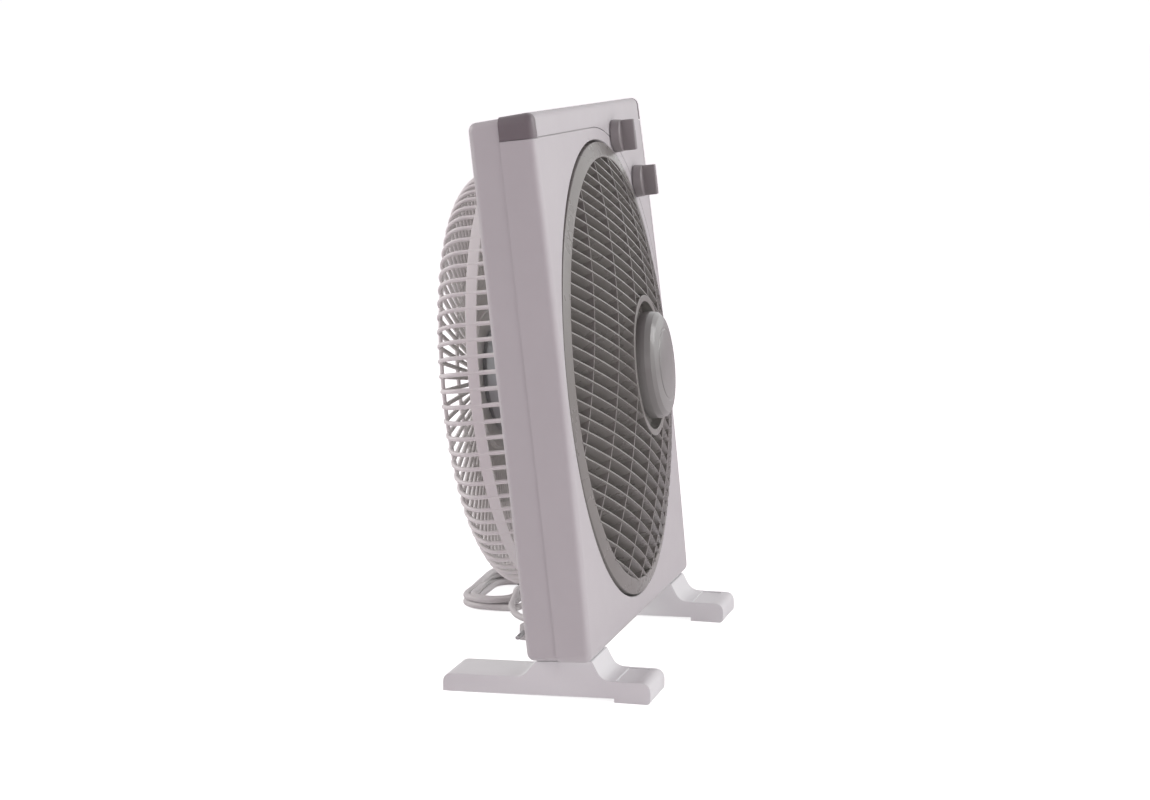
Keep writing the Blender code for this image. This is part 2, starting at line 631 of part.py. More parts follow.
# louvre drive: a small geared motor turns a rubber-tyred roller against the rim
tangent = (-math.sin(ROLLER_ANGLE), math.cos(ROLLER_ANGLE))
for i, reach in enumerate((-0.0245, 0.0245)):
    x, z = roller_x + tangent[0] * reach, roller_z + tangent[1] * reach
    join(front_shell, rod(f"drive_post_{i}", x, z, 0.0002, 0.0167, 0.0030, steps=12))
drive = rod("louvre_motor", roller_x, roller_z, 0.0186, 0.0310, SYNC_MOTOR_R, STEEL, steps=32)
ears = block("louvre_motor_ears", (-0.0280, 0.0170, -0.0040), (0.0280, 0.0188, 0.0040))
ears.rotation_euler = (0.0, -math.atan2(tangent[1], tangent[0]), 0.0)
ears.location = (roller_x, 0.0, roller_z)
join(drive, ears)
cut(drive, rod("louvre_motor_bore", roller_x, roller_z, 0.010, 0.0240, 0.0018, steps=12))
rod("roller_spindle", roller_x, roller_z, ROLLER_Y[0] + 0.0012, 0.0230, 0.0015, STEEL, steps=12)
turned("louvre_roller", [(ROLLER_R - 0.0018, ROLLER_Y[0] + 0.0006),
                         (ROLLER_R - 0.0018, ROLLER_Y[1]), (0.0018, ROLLER_Y[1]),
                         (0.0018, ROLLER_Y[0] + 0.0006)], BLACK, steps=20, x=roller_x,
       z=roller_z)
turned("roller_tyre", [(ROLLER_R, ROLLER_Y[0] + 0.0008), (ROLLER_R, ROLLER_Y[1] - 0.0002),
                       (ROLLER_R - 0.0015, ROLLER_Y[1] - 0.0002),
                       (ROLLER_R - 0.0015, ROLLER_Y[0] + 0.0008)], RUBBER, steps=20,
       x=roller_x, z=roller_z)

# ---------------------------------------------------------------- impeller and motor
boss_r = SHAFT_R + 0.0050
impeller = turned("impeller", [
    (IMPELLER_HUB_R - 0.0035, IMPELLER_Y[0]), (IMPELLER_HUB_R, IMPELLER_Y[0] + 0.003),
    (IMPELLER_HUB_R, IMPELLER_Y[1]), (IMPELLER_HUB_R - 0.0022, IMPELLER_Y[1]),
    (IMPELLER_HUB_R - 0.0022, IMPELLER_Y[0] + 0.0035), (boss_r, IMPELLER_Y[0] + 0.0025),
    (boss_r, 0.0440), (SHAFT_R + FIT, 0.0440), (SHAFT_R + FIT, IMPELLER_Y[0])],
    BLADE, steps=24)


def blade_point(k, radius, step, steps):
    """A point on blade k: steps run from the leading to the trailing edge."""
    t = step / steps
    out = (radius - IMPELLER_HUB_R) / (IMPELLER_R - IMPELLER_HUB_R)
    span = math.radians(60 - 14 * out * out)
    sweep = math.radians(18) * out
    angle = 2 * math.pi * k / BLADES + sweep + span * (t - 0.5)
    rise = 0.0175 - 0.0045 * out
    y = sum(IMPELLER_Y) / 2 + rise * (t - 0.5) + 0.0030 * math.sin(math.pi * t)
    x, z = polar(radius, angle)
    return (x, y, z)


blades = bmesh.new()
blade_span = IMPELLER_R - IMPELLER_HUB_R
radii = [IMPELLER_HUB_R - 0.0012, *(IMPELLER_HUB_R + blade_span * t for t in (0.22, 0.48, 0.76)),
         IMPELLER_R - 0.003, IMPELLER_R]
TIP_TRIM = 0.35             # the tip corners are cut back by this share of a step
for k in range(BLADES):
    rows = []
    for radius in radii:
        trim = TIP_TRIM if radius == IMPELLER_R else 0.0
        rows.append([blades.verts.new(blade_point(k, radius, step, 5))
                     for step in (trim, 1, 2, 3, 4, 5 - trim)])
    for one, two in zip(rows, rows[1:]):
        for a, b, c, d in zip(one, one[1:], two[1:], two):
            blades.faces.new((a, b, c, d))
blades = from_bmesh("impeller_blades", blades, None)
thick = blades.modifiers.new("thickness", "SOLIDIFY")
thick.thickness = 0.0020
thick.offset = 0.0
join(impeller, blades)

turned("spinner_nut", [
    (0.0, 0.0155), (0.0080, 0.0159), (0.0125, 0.0178), (0.0140, 0.0208),
    (0.0140, IMPELLER_Y[0] - FIT), (SHAFT_R + FIT, IMPELLER_Y[0] - FIT),
    (SHAFT_R + FIT, SHAFT_Y[0] - 0.0004), (0.0, SHAFT_Y[0] - 0.0004)], BLACK, steps=24,
    loop=False)
rod("motor_shaft", 0, AXIS_Z, *SHAFT_Y, SHAFT_R, STEEL, steps=24)

inside = MOTOR_R - MOTOR_WALL
motor_rear = MOTOR_FRONT + 0.0473
seat_r = SHAFT_R + 0.0043
neck_r = seat_r + 0.0022
ROTOR_GAP_R = 0.0230        # the stator's bore
winding_r = (ROTOR_GAP_R + 0.0020, inside - 0.0035)
turned("motor_front_cover", [
    (neck_r, MOTOR_FRONT - 0.002), (neck_r, MOTOR_FRONT), (MOTOR_R - 0.004, MOTOR_FRONT),
    (MOTOR_R, MOTOR_FRONT + 0.004), (MOTOR_R, MOTOR_SPLIT - FIT), (inside, MOTOR_SPLIT - FIT),
    (inside, MOTOR_FRONT + 0.005), (inside - 0.003, MOTOR_FRONT + 0.002),
    (neck_r, MOTOR_FRONT + 0.002), (neck_r, MOTOR_FRONT + 0.0105),
    (seat_r, MOTOR_FRONT + 0.0105), (seat_r, MOTOR_FRONT + 0.0025),
    (SHAFT_R + RUN, MOTOR_FRONT + 0.0025), (SHAFT_R + RUN, MOTOR_FRONT - 0.002)],
    CASTING, steps=28)
motor_back = turned("motor_rear_cover", [
    (0.0, motor_rear - 0.0027), (seat_r, motor_rear - 0.0027), (seat_r, motor_rear - 0.0108),
    (neck_r, motor_rear - 0.0108), (neck_r, motor_rear - 0.002),
    (inside - 0.003, motor_rear - 0.002), (inside, motor_rear - 0.005), (inside, MOTOR_SPLIT),
    (MOTOR_R, MOTOR_SPLIT), (MOTOR_R, motor_rear - 0.004), (MOTOR_R - 0.004, motor_rear),
    (0.0, motor_rear)], CASTING, steps=28, loop=False)


def ring(name, r0, r1, y0, y1, mat, steps=28):
    """A plain collar between two radii and two depths."""
    return turned(name, [(r1, y0), (r1, y1), (r0, y1), (r0, y0)], mat, steps=steps)


bore_r = SHAFT_R + FIT
ring("bush_front", bore_r, seat_r - FIT, MOTOR_FRONT + 0.0028, MOTOR_FRONT + 0.0102, BRONZE, 20)
ring("bush_rear", bore_r, seat_r - FIT, motor_rear - 0.0105, motor_rear - 0.0055, BRONZE, 20)
ring("motor_stator", ROTOR_GAP_R, inside - FIT, 0.0630, 0.0840, IRON)
ring("winding_front", *winding_r, 0.0560, 0.0630 - FIT, COPPER)
ring("winding_rear", *winding_r, 0.0840 + FIT, 0.0915, COPPER)
ring("motor_rotor", bore_r, ROTOR_GAP_R - RUN, 0.0630, 0.0840, IRON)

# ---------------------------------------------------------------- rear grille
flat_r = GRILLE_R - GRILLE_CORNER


def grille_path():
    """(radius, depth, normal) along a bar's outer side, from the base inwards."""
    path = [(GRILLE_R, BODY_D + 0.0012, 0.0), (GRILLE_R, GRILLE_REAR - GRILLE_CORNER, 0.0)]
    centre = (flat_r, GRILLE_REAR - GRILLE_CORNER)
    for r, y in arc(centre, GRILLE_CORNER, 0.0, math.pi / 2, 3)[1:]:
        path.append((r, y, math.atan2(y - centre[1], r - centre[0])))
    inner = PLATE_R - 0.001
    path.append((inner, grille_dome(inner), math.pi / 2))
    return path


def grille_dome(radius):
    """Depth of the grille's flat back, which stands out a little in the middle."""
    return GRILLE_REAR + GRILLE_DOME * (1.0 - (radius / flat_r) ** 2)


bars = bmesh.new()
for k in range(GRILLE_RIBS):
    angle = 2 * math.pi * (k + 0.25) / GRILLE_RIBS
    across = Vector((-math.sin(angle), 0.0, math.cos(angle))) * (GRILLE_BAR / 2)
    sections = []
    for r, y, normal in grille_path():
        inner = (r - GRILLE_BAR * math.cos(normal), y - GRILLE_BAR * math.sin(normal))
        out = [Vector((a * math.cos(angle), b, AXIS_Z + a * math.sin(angle)))
               for a, b in ((r, y), inner)]
        sections.append([out[0] - across, out[0] + across, out[1] + across, out[1] - across])
    loft(bars, sections)
bars = from_bmesh("grille_bars", bars, None)
grille = ring("rear_grille", INTAKE_R + 0.0006, GRILLE_R + 0.0004, BODY_D + FIT, BODY_D + 0.0033,
              GRILLE_WHITE, 32)
grille_plate = turned("grille_plate", [
    (0.0, motor_rear + FIT), (PLATE_R, motor_rear + FIT), (PLATE_R, GRILLE_REAR + 0.0022),
    (PLATE_R - 0.0022, GRILLE_REAR + 0.0022), (PLATE_R - 0.0022, motor_rear + 0.0027),
    (0.0, motor_rear + 0.0027)], None, steps=28, loop=False)
join(grille, bars, grille_plate,
     ring("grille_band", GRILLE_R - 0.0022, GRILLE_R - 0.0003, *GRILLE_BAND, None, 32))
for i, r in enumerate((GRILLE_MID_RING, flat_r)):
    join(grille, ring(f"grille_ring_{i}", r - 0.0012, r + 0.0012, grille_dome(r) - 0.0030,
                      grille_dome(r) - 0.0004, None, 28))
for i, (x, z) in enumerate(grille_screw_spots):
    cut(grille, rod(f"grille_hole_{i}", x, z, BODY_D - 0.01, BODY_D + 0.0040, 0.0018, steps=12))
motor_screw_spots = [polar(0.030, math.radians(angle)) for angle in (30, 210)]
for i, (x, z) in enumerate(motor_screw_spots):
    hole = rod(f"motor_screw_hole_{i}", x, z, motor_rear - 0.004, motor_rear + 0.008, 0.0019,
               steps=12)
    cut(grille, hole)
    cut(motor_back, hole)
    screw_piece(f"motor_screw_{i + 1}", x, z, motor_rear + 0.0030, motor_rear - 0.0046,
                0.0034, 0.0015)

# ---------------------------------------------------------------- controls
def control(kind, spot, angle, mat_body):
    """A rotary control: its body behind the panel, its spindle and its knob."""
    x, z = spot
    face = crown_y(z)
    across, along = CONTROL_HALF
    c, s = math.cos(angle), math.sin(angle)
    outline = [(x + a * c - b * s, z + a * s + b * c)
               for a, b in ((across, -along), (across, along), (-across, along),
                            (-across, -along))]
    front = crown_y(z + along) + FRONT_PLATE + FIT
    body = slab(kind, outline, CONTROL_D, facing(front + CONTROL_D / 2), mat_body,
                bevel=0.0008)
    bore = SPINDLE_R + FIT
    cut(body, rod(kind + "_bore", x, z, 0.0, 0.0155, bore, steps=16))
    knob_rear = face - 0.0005
    rod(kind + "_spindle", x, z, knob_rear - 0.0100, 0.0150, SPINDLE_R, STEEL, steps=16)
    knob = turned(kind + "_knob", [
        (0.0, knob_rear - KNOB_BASE), (KNOB_R - 0.0018, knob_rear - KNOB_BASE),
        (KNOB_R - 0.0006, knob_rear - KNOB_BASE + 0.0008), (KNOB_R, knob_rear),
        (0.0, knob_rear)], DARK, steps=32, x=x, z=z, loop=False)
    grip = block(kind + "_grip", (x - KNOB_GRIP_T / 2, knob_rear - KNOB_GRIP, z - KNOB_R + 0.0010),
                 (x + KNOB_GRIP_T / 2, knob_rear - 0.003, z + KNOB_R - 0.0010), bevel=0.0009)
    join(knob, grip)
    cut(knob, rod(kind + "_knob_bore", x, z, knob_rear - 0.0103, knob_rear + 0.002, bore,
                  steps=16))


control("speed_switch", knob_spots[0], KNOB_ANGLES[0], BLACK)
control("timer", knob_spots[1], KNOB_ANGLES[1], STEEL)
block("run_capacitor", (0.0154 - BODY_W / 2, 0.0335, BODY_H - 0.0550),
      (0.0524 - BODY_W / 2, BODY_D - REAR_PLATE - FIT, BODY_H - 0.0330), CASTING, bevel=0.0010)

# ---------------------------------------------------------------- feet
def on_floor(y, z):
    """World (y, z) of a point on the leaning casing."""
    return (BODY_Y + y * math.cos(LEAN) + z * math.sin(LEAN),
            BODY_Z - y * math.sin(LEAN) + z * math.cos(LEAN))


def foot(side, sign):
    """A moulded foot: tail, saddle under the casing, toe and pad."""
    front_y, front_z = on_floor(0.0022, -FIT)
    back_y, back_z = on_floor(BODY_D - 0.0045, DRAFT * 0.9 - FIT)
    tail = BODY_Y + FOOT_BACK
    nose = tail - FOOT_LENGTH
    corners = [
        (tail, 0.0, 0.0008), (tail - 0.005, 0.0, 0.0), (nose + 0.027, 0.0030, 0.0004),
        (nose + 0.027, 0.0, 0.0004), (nose, 0.0, 0.0035), (nose, 0.0158, 0.0078),
        (nose + 0.0365, 0.0156, 0.0120), (front_y, front_z, 0.0015), (back_y, back_z, 0.0020),
        (tail - 0.0600, 0.0146, 0.0100), (tail, 0.0132, 0.0115)]
    middle = sign * (FOOT_X - FOOT_W / 2)
    matrix = Matrix(((0, 0, 1, middle), (1, 0, 0, 0), (0, 1, 0, 0), (0, 0, 0, 1)))
    piece = slab("foot_" + side, rounded(corners, 3), FOOT_W, matrix, WHITE, leaning=False,
                 bevel=0.0010)
    half = FOOT_W / 2
    cut(piece, block(f"foot_{side}_tread", (middle - half + 0.003, nose + 0.0105, 0.0150),
                     (middle + half - 0.003, nose + 0.0265, 0.0200), leaning=False))
    cut(piece, block(f"foot_{side}_hollow", (middle - half + 0.003, tail - 0.056, -0.001),
                     (middle + half - 0.003, tail - 0.010, 0.0105), leaning=False))
    for i, y in enumerate(FOOT_SCREW_Y):
        cut(piece, upright(f"foot_{side}_hole_{i}", middle, y, -0.04, 0.010, 0.0020, steps=12))
        cut(piece, upright(f"foot_{side}_sink_{i}", middle, y, -0.04, -0.0114, 0.0042, steps=12))
        screw_up(f"foot_screw_{side}_{i + 1}", middle, y, -0.0117, 0.0095, 0.0036, 0.0016)


foot("left", -1)
foot("right", 1)

# ---------------------------------------------------------------- cord
relief_end = 0.0745
turned("strain_relief", [
    (0.0, BODY_D - REAR_PLATE - 0.0020), (0.0065, BODY_D - REAR_PLATE - 0.0020),
    (0.0065, BODY_D - REAR_PLATE - FIT), (0.0042, BODY_D - REAR_PLATE - FIT),
    (0.0042, BODY_D + FIT), (0.0058, BODY_D + FIT), (0.0056, BODY_D + 0.0030),
    (0.0036, relief_end), (0.0, relief_end)], CORD_WHITE, steps=20, x=RELIEF[0], z=RELIEF[1],
    loop=False)


def cord(name, route):
    """A plain tube through hand-chosen points, read from a smooth curve."""
    count = len(route)
    points = [Vector(p) for p in route]
    fine = []
    for i in range(count - 1):
        p0 = points[max(i - 1, 0)]
        p1, p2 = points[i], points[i + 1]
        p3 = points[min(i + 2, count - 1)]
        for t in (0.0, 0.5):
            fine.append(0.5 * (2 * p1 + (p2 - p0) * t + (2 * p0 - 5 * p1 + 4 * p2 - p3) * t * t
                               + (3 * p1 - p0 - 3 * p2 + p3) * t ** 3))
    fine.append(points[-1])
    curve = bpy.data.curves.new(name, "CURVE")
    curve.dimensions = "3D"
    curve.bevel_depth = CORD_R
    curve.bevel_resolution = 2
    curve.use_fill_caps = True
    spline = curve.splines.new("POLY")
    spline.points.add(len(fine) - 1)
    for point, co in zip(spline.points, fine):
        point.co = (co.x, BODY_Y + co.y, co.z, 1.0)
    obj = bpy.data.objects.new(name, curve)
    return place(obj, CORD_WHITE, False)


exit_y, exit_z = on_floor(relief_end + FIT, RELIEF[1])
exit_y -= BODY_Y
lower = HANK_CENTRE[1] - HANK_END_R + CORD_R
hank_z = (0.0013, 0.0013 + HANK_H)
cord("power_cord", [
    (0.1150, exit_y, exit_z), (0.1150, 0.0870, 0.0622), (0.1149, 0.0945, 0.0590),
    (0.1146, 0.1008, 0.0535), (0.1141, 0.1050, 0.0464), (0.1134, 0.1075, 0.0386),
    (0.1126, 0.1092, 0.0306), (0.1116, 0.1112, 0.0228), (0.1104, 0.1148, 0.0156),
    (0.1093, 0.1202, 0.0097), (0.1082, 0.1268, 0.0058), (0.1075, 0.1330, 0.0043),
    (0.10725, 0.1385, 0.00405)])
cord("plug_lead", [
    (0.1136, lower, 0.0100), (0.1070, lower - 0.0001, 0.0101), (0.0990, 0.1313, 0.0092),
    (0.0915, 0.1287, 0.0070), (0.0850, 0.1246, 0.0048), (0.0795, 0.1190, 0.0034),
    (0.0752, 0.1124, 0.0030), (0.0720, 0.1052, 0.0030), (0.0680, 0.0984, 0.0032),
    (0.0620, 0.0932, 0.0040), (0.0548, 0.0902, 0.0054), (0.0480, 0.0892, 0.0064),
    (0.0428, 0.0890, 0.0066)])


def stadium(centre, run, radius, steps=10):
    """A closed outline of two straight runs joined by half rounds."""
    x, y = centre
    right = arc((x + run / 2, y), radius, -math.pi / 2, math.pi / 2, steps)
    left = arc((x - run / 2, y), radius, math.pi / 2, 3 * math.pi / 2, steps)
    return right + left


hank_at = (HANK_CENTRE[0], BODY_Y + HANK_CENTRE[1])
lift = Matrix.Translation((0.0, 0.0, sum(hank_z) / 2))
hank = slab("cord_hank", stadium(hank_at, HANK_RUN, HANK_END_R), HANK_H, lift, CORD_WHITE,
            leaning=False)
cut(hank, slab("hank_middle", stadium(hank_at, HANK_RUN, HANK_END_R - 0.0118), HANK_H * 2, lift,
               leaning=False))
tie_low = hank_at[1] - HANK_END_R
tie = block("cord_tie", (hank_at[0] - 0.0025, tie_low - 0.0012, 0.0),
            (hank_at[0] + 0.0025, tie_low + 0.0118 + 0.0012, hank_z[1] + 0.0012), BLACK,
            leaning=False)
cut(tie, block("tie_inside", (hank_at[0] - 0.01, tie_low - FIT, hank_z[0] - FIT),
               (hank_at[0] + 0.01, tie_low + 0.0118 + FIT, hank_z[1] + FIT), leaning=False))

plug_y = BODY_Y + 0.0890
plug_x = 0.0425
face_x = plug_x - 0.0350
plug_outline = rounded([
    (plug_x, plug_y - 0.0042, 0.001), (plug_x, plug_y + 0.0042, 0.001),
    (plug_x - 0.0170, plug_y + 0.0075, 0.004), (face_x + 0.0060, plug_y + 0.0130, 0.004),
    (face_x, plug_y + 0.0130, 0.001), (face_x, plug_y - 0.0130, 0.001),
    (face_x + 0.0060, plug_y - 0.0130, 0.004), (plug_x - 0.0170, plug_y - 0.0075, 0.004)], 2)
plug = slab("plug", plug_outline, 0.0128, Matrix.Translation((0.0, 0.0, 0.0066)), CORD_WHITE,
            leaning=False, bevel=0.0012)


def pin(name, y, x0, x1, radius, mat=None):
    """A round pin along X at the plug's mid-height."""
    bm = bmesh.new()
    bmesh.ops.create_cone(bm, cap_ends=True, segments=12, radius1=radius, radius2=radius,
                          depth=x1 - x0, matrix=Matrix.Rotation(math.pi / 2, 4, "Y"))
    bmesh.ops.translate(bm, vec=((x0 + x1) / 2, y, 0.0066), verts=bm.verts)
    return from_bmesh(name, bm, mat, leaning=False)


for i, offset in enumerate((-0.0095, 0.0095)):
    cut(plug, pin(f"pin_socket_{i}", plug_y + offset, face_x - 0.01, face_x + 0.0083, 0.0023))
    pin(f"plug_pin_{i + 1}", plug_y + offset, face_x - 0.0190, face_x + 0.0080, 0.0020, STEEL)
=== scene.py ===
# %% [markdown]
# # A box fan, dressed for a studio picture
# The fan is a white moulded casing that leans back on two feet. A grey slatted disc, the louvre,
# turns slowly in its front and spreads the air. A five-bladed impeller runs behind it, and a
# round cage at the back holds the motor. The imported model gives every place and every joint,
# so this script only adds the fine surfaces, the finishes, the light and the camera.

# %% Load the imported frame
import json
import math

import bmesh
import bpy
from mathutils import Matrix, Vector

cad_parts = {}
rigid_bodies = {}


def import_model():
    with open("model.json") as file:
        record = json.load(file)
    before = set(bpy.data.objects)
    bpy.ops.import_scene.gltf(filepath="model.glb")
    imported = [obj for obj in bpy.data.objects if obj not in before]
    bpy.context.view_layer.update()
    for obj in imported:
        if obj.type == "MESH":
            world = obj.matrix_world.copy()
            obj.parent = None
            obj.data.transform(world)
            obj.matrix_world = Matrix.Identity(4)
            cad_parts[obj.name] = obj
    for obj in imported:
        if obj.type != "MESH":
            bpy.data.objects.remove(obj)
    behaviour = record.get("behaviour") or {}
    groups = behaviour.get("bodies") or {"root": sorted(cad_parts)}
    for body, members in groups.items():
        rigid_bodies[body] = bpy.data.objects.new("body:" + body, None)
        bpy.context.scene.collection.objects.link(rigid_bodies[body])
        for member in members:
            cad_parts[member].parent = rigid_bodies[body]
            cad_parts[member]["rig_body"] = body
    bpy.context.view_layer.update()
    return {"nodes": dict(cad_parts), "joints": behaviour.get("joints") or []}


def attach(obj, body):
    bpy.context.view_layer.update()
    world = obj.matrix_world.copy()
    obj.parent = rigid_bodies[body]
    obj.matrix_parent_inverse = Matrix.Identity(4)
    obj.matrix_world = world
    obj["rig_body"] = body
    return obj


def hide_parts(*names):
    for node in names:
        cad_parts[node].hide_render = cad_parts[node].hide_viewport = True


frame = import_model()

# %% [markdown]
# ## Places
# The casing leans back, so its own depth and height aren't the world's. The louvre's joint gives
# both: its axis is the casing's depth, and its point is the air axis at the casing's front edge.
# With those three directions a piece can be drawn upright, in plain numbers, and then leaned.

# %% The casing's own axes
louvre_joint = next(j for j in frame["joints"] if j["name"] == "louvre_spin")
depth = Vector(louvre_joint["axis"]).normalized()
across = Vector((1.0, 0.0, 0.0))
height = across.cross(depth)
axis_height = 0.1944
corner = Vector(louvre_joint["pos_m"]) - height * axis_height
casing = Matrix((across, depth, height)).transposed().to_4x4()
casing.translation = corner
upright = Matrix.Identity(4)
print("lean:", round(math.degrees(math.asin(-depth.z)), 2), "degrees")

casing_w, casing_h, casing_d = 0.3748, 0.400, 0.049
seam, draft, step, crown = 0.0255, 0.003, 0.001, 0.0025
louvre_r, opening_r, intake_r = 0.1758, 0.1775, 0.1555
panel_arc = 0.1867
panel_z = axis_height + panel_arc
gap = 0.0003


def polar(radius, angle):
    """(x, z) on the casing at a radius and angle about the air axis."""
    return radius * math.cos(angle), axis_height + radius * math.sin(angle)


def crown_at(z):
    """How far forward the bowed front face stands at a height on the casing."""
    t = (z - casing_h / 2) / (casing_h / 2)
    return -crown * max(0.0, 1.0 - t * t)


# %% [markdown]
# ## Camera
# The fan is seen from its left side, a little from the front and a little from above, through a
# long lens. A long lens from far away keeps the casing's edges nearly parallel.

# %% The camera
camera = bpy.data.objects.new("camera", bpy.data.cameras.new("camera"))
camera.data.sensor_width = 36.0
camera.data.lens = 92.81
camera.location = (-2.2348, -0.5025, 0.5098)
camera.rotation_euler = [math.radians(a) for a in (82.203, -1.100, -77.012)]
camera.data.clip_start = 0.1
camera.data.clip_end = 40.0
bpy.context.scene.collection.objects.link(camera)
bpy.context.scene.camera = camera
print("camera", round((Vector(camera.location) - corner).length, 2), "m away")

# %% [markdown]
# ## Shader sums
# Patterns on plastic are sums of noises and waves. Written as nodes they are long, and written as
# Python they are one line, so a small class wraps a socket and turns + and * into Math nodes.
# Whatever has no operator comes from one method that makes any node.


# %% A socket that can be added and multiplied
class Flow:
    """A value in a material's node tree."""

    def __init__(self, tree, socket):
        self.tree = tree
        self.socket = socket

    def maths(self, operation, other):
        return make(self.tree, "ShaderNodeMath", {"operation": operation}, {0: self, 1: other})

    def __add__(self, other):
        return self.maths("ADD", other)

    def __mul__(self, other):
        return self.maths("MULTIPLY", other)

    __radd__ = __add__
    __rmul__ = __mul__


def make(tree, kind, settings=None, inputs=None, output=0):
    """Any node: its settings first, then the values or links of its sockets."""
    node = tree.nodes.new(kind)
    for name, value in (settings or {}).items():
        if name == "stops":
            ramp = node.color_ramp.elements
            ramp[0].position, ramp[0].color = value[0]
            ramp[1].position, ramp[1].color = value[-1]
            for place, color in value[1:-1]:
                ramp.new(place).color = color
        else:
            setattr(node, name, value)
    for name, value in (inputs or {}).items():
        if isinstance(value, Flow):
            tree.links.new(value.socket, node.inputs[name])
        else:
            node.inputs[name].default_value = value
    return Flow(tree, node.outputs[output])


# %% [markdown]
# ## Moulded plastic
# Injection-moulded plastic isn't one flat colour. Its mould was finely sparked, which leaves a
# grain too small to count but enough to soften reflections, the melt flows leave faint clouds,
# and handling leaves slightly shinier patches. One function makes that surface, and each plastic
# only names its colour, its shine and how strong its grain is.


# %% A material and its surface noises
def start(name):
    """A new material's tree, its shader, and the point being shaded, in metres."""
    finish = bpy.data.materials.new(name)
    finish.use_nodes = True
    tree = finish.node_tree
    shader = tree.nodes["Principled BSDF"]
    point = make(tree, "ShaderNodeTexCoord", output="Object")
    return finish, tree, shader, point


def noise(tree, point, scale, detail=3.0, stretch=None):
    """Cloudy noise, 0 to 1, with features about 1/scale metres wide."""
    if stretch:
        point = make(tree, "ShaderNodeMapping", None, {"Vector": point, "Scale": stretch})
    return make(tree, "ShaderNodeTexNoise", None,
                {"Vector": point, "Scale": scale, "Detail": detail, "Roughness": 0.55})


def tint(tree, share, low, high):
    """A colour between low and high by a share from 0 to 1."""
    return make(tree, "ShaderNodeMix", {"data_type": "RGBA"},
                {0: share, 6: (*low, 1.0), 7: (*high, 1.0)}, output=2)


def bump(tree, value, distance):
    """Small relief from a value."""
    return make(tree, "ShaderNodeBump", None,
                {"Height": value, "Distance": distance, "Strength": 1.0}, output="Normal")


def wire_up(tree, shader, **links):
    """Links flows, or sets plain values, on the shader's sockets."""
    for name, value in links.items():
        socket = shader.inputs[name.replace("_", " ")]
        if isinstance(value, Flow):
            tree.links.new(value.socket, socket)
        else:
            socket.default_value = value


def moulded(name, color, shine, grain=0.00004, cloud=0.05, coat=0.0):
    """Moulded plastic of a colour, with shine as its middle roughness."""
    finish, tree, shader, point = start(name)
    clouds = noise(tree, point, 14.0, 2.0) * 0.7 + noise(tree, point, 90.0, 2.0) * 0.3
    low = [c * (1.0 - cloud) for c in color]
    high = [min(1.0, c * (1.0 + cloud)) for c in color]
    wear = noise(tree, point, 35.0, 4.0)
    sparks = noise(tree, point, 2600.0, 2.0) + noise(tree, point, 700.0, 2.0) * 0.6
    wire_up(tree, shader, Base_Color=tint(tree, clouds, low, high),
            Roughness=wear * 0.14 + (shine - 0.07), Normal=bump(tree, sparks, grain),
            IOR=1.49, Coat_Weight=coat, Coat_Roughness=0.12)
    return finish


white = moulded("white_casing", (0.66, 0.655, 0.66), 0.40)
# The feet are given a lighter white than the casing.
foot_white = moulded("white_feet", (0.92, 0.95, 0.945), 0.38)
# The cage's white is partly painted light: it is set lighter than the casing's white to stand in
# for the light its ribs catch from behind and above, and the rear lamp gives the rest.
cage_white_with_painted_light = moulded("white_cage_painted_light", (0.92, 0.915, 0.90), 0.40)
louvre_grey = moulded("louvre_grey", (0.262, 0.258, 0.240), 0.28, cloud=0.07)
trim_grey = moulded("trim_grey", (0.222, 0.196, 0.208), 0.38, cloud=0.07)
knob_grey = moulded("knob_grey", (0.310, 0.295, 0.297), 0.36, cloud=0.07)
cap_grey = moulded("cap_grey", (0.285, 0.289, 0.275), 0.30, grain=0.00002, coat=0.35)
smoky = moulded("smoky_blades", (0.33, 0.32, 0.28), 0.24, grain=0.00001, coat=0.3)
black = moulded("black_plastic", (0.028, 0.028, 0.030), 0.42)
pvc = moulded("cord_pvc", (0.74, 0.74, 0.73), 0.46, grain=0.00003)
rubber = moulded("tyre_rubber", (0.035, 0.034, 0.033), 0.78, grain=0.0001)
print("plastics made")

# %% [markdown]
# ## Metals
# The metal parts are small and mostly inside: screws and shafts of bright steel with fine turning
# marks, a plated motor housing, stacked iron sheets, enamelled copper wire and bronze bushes.
# Turning marks and stacked sheets run along the depth, so those patterns read only that direction.


# %% Metals
def metal(name, color, shine, marks=1800.0, relief=0.00002):
    """Machined or plated metal, with fine marks across the casing's depth."""
    finish, tree, shader, point = start(name)
    turned_marks = noise(tree, point, marks, 2.0, stretch=(0.06, 1.0, 0.06))
    stain = noise(tree, point, 60.0, 3.0)
    low = [c * 0.86 for c in color]
    wire_up(tree, shader, Base_Color=tint(tree, stain, low, color), Metallic=1.0,
            Roughness=turned_marks * 0.2 + (shine - 0.1) + stain * 0.08,
            Normal=bump(tree, turned_marks, relief))
    return finish


def striped(name, dark, light, pitch, shine, relief):
    """Metal laid up in thin layers along the depth, such as sheets or turns of wire."""
    finish, tree, shader, point = start(name)
    wobble = noise(tree, point, 30.0, 2.0) * 0.004
    spread = make(tree, "ShaderNodeSeparateXYZ", None, {"Vector": point}, output="Y") + wobble
    wave = (spread * (2 * math.pi / pitch)).maths("SINE", 0.0) * 0.5 + 0.5
    wire_up(tree, shader, Base_Color=tint(tree, wave, dark, light), Metallic=1.0,
            Roughness=shine, Normal=bump(tree, wave, relief))
    return finish


steel = metal("bright_steel", (0.62, 0.62, 0.63), 0.30)
zinc = metal("plated_housing", (0.55, 0.56, 0.58), 0.42, marks=500.0)
bronze = metal("oilite_bronze", (0.50, 0.34, 0.16), 0.42)
sheets = striped("iron_sheets", (0.10, 0.10, 0.11), (0.30, 0.30, 0.31), 0.001, 0.45, 0.00015)
copper = striped("copper_turns", (0.30, 0.10, 0.05), (0.72, 0.32, 0.16), 0.0008, 0.33, 0.00020)
print("metals made")

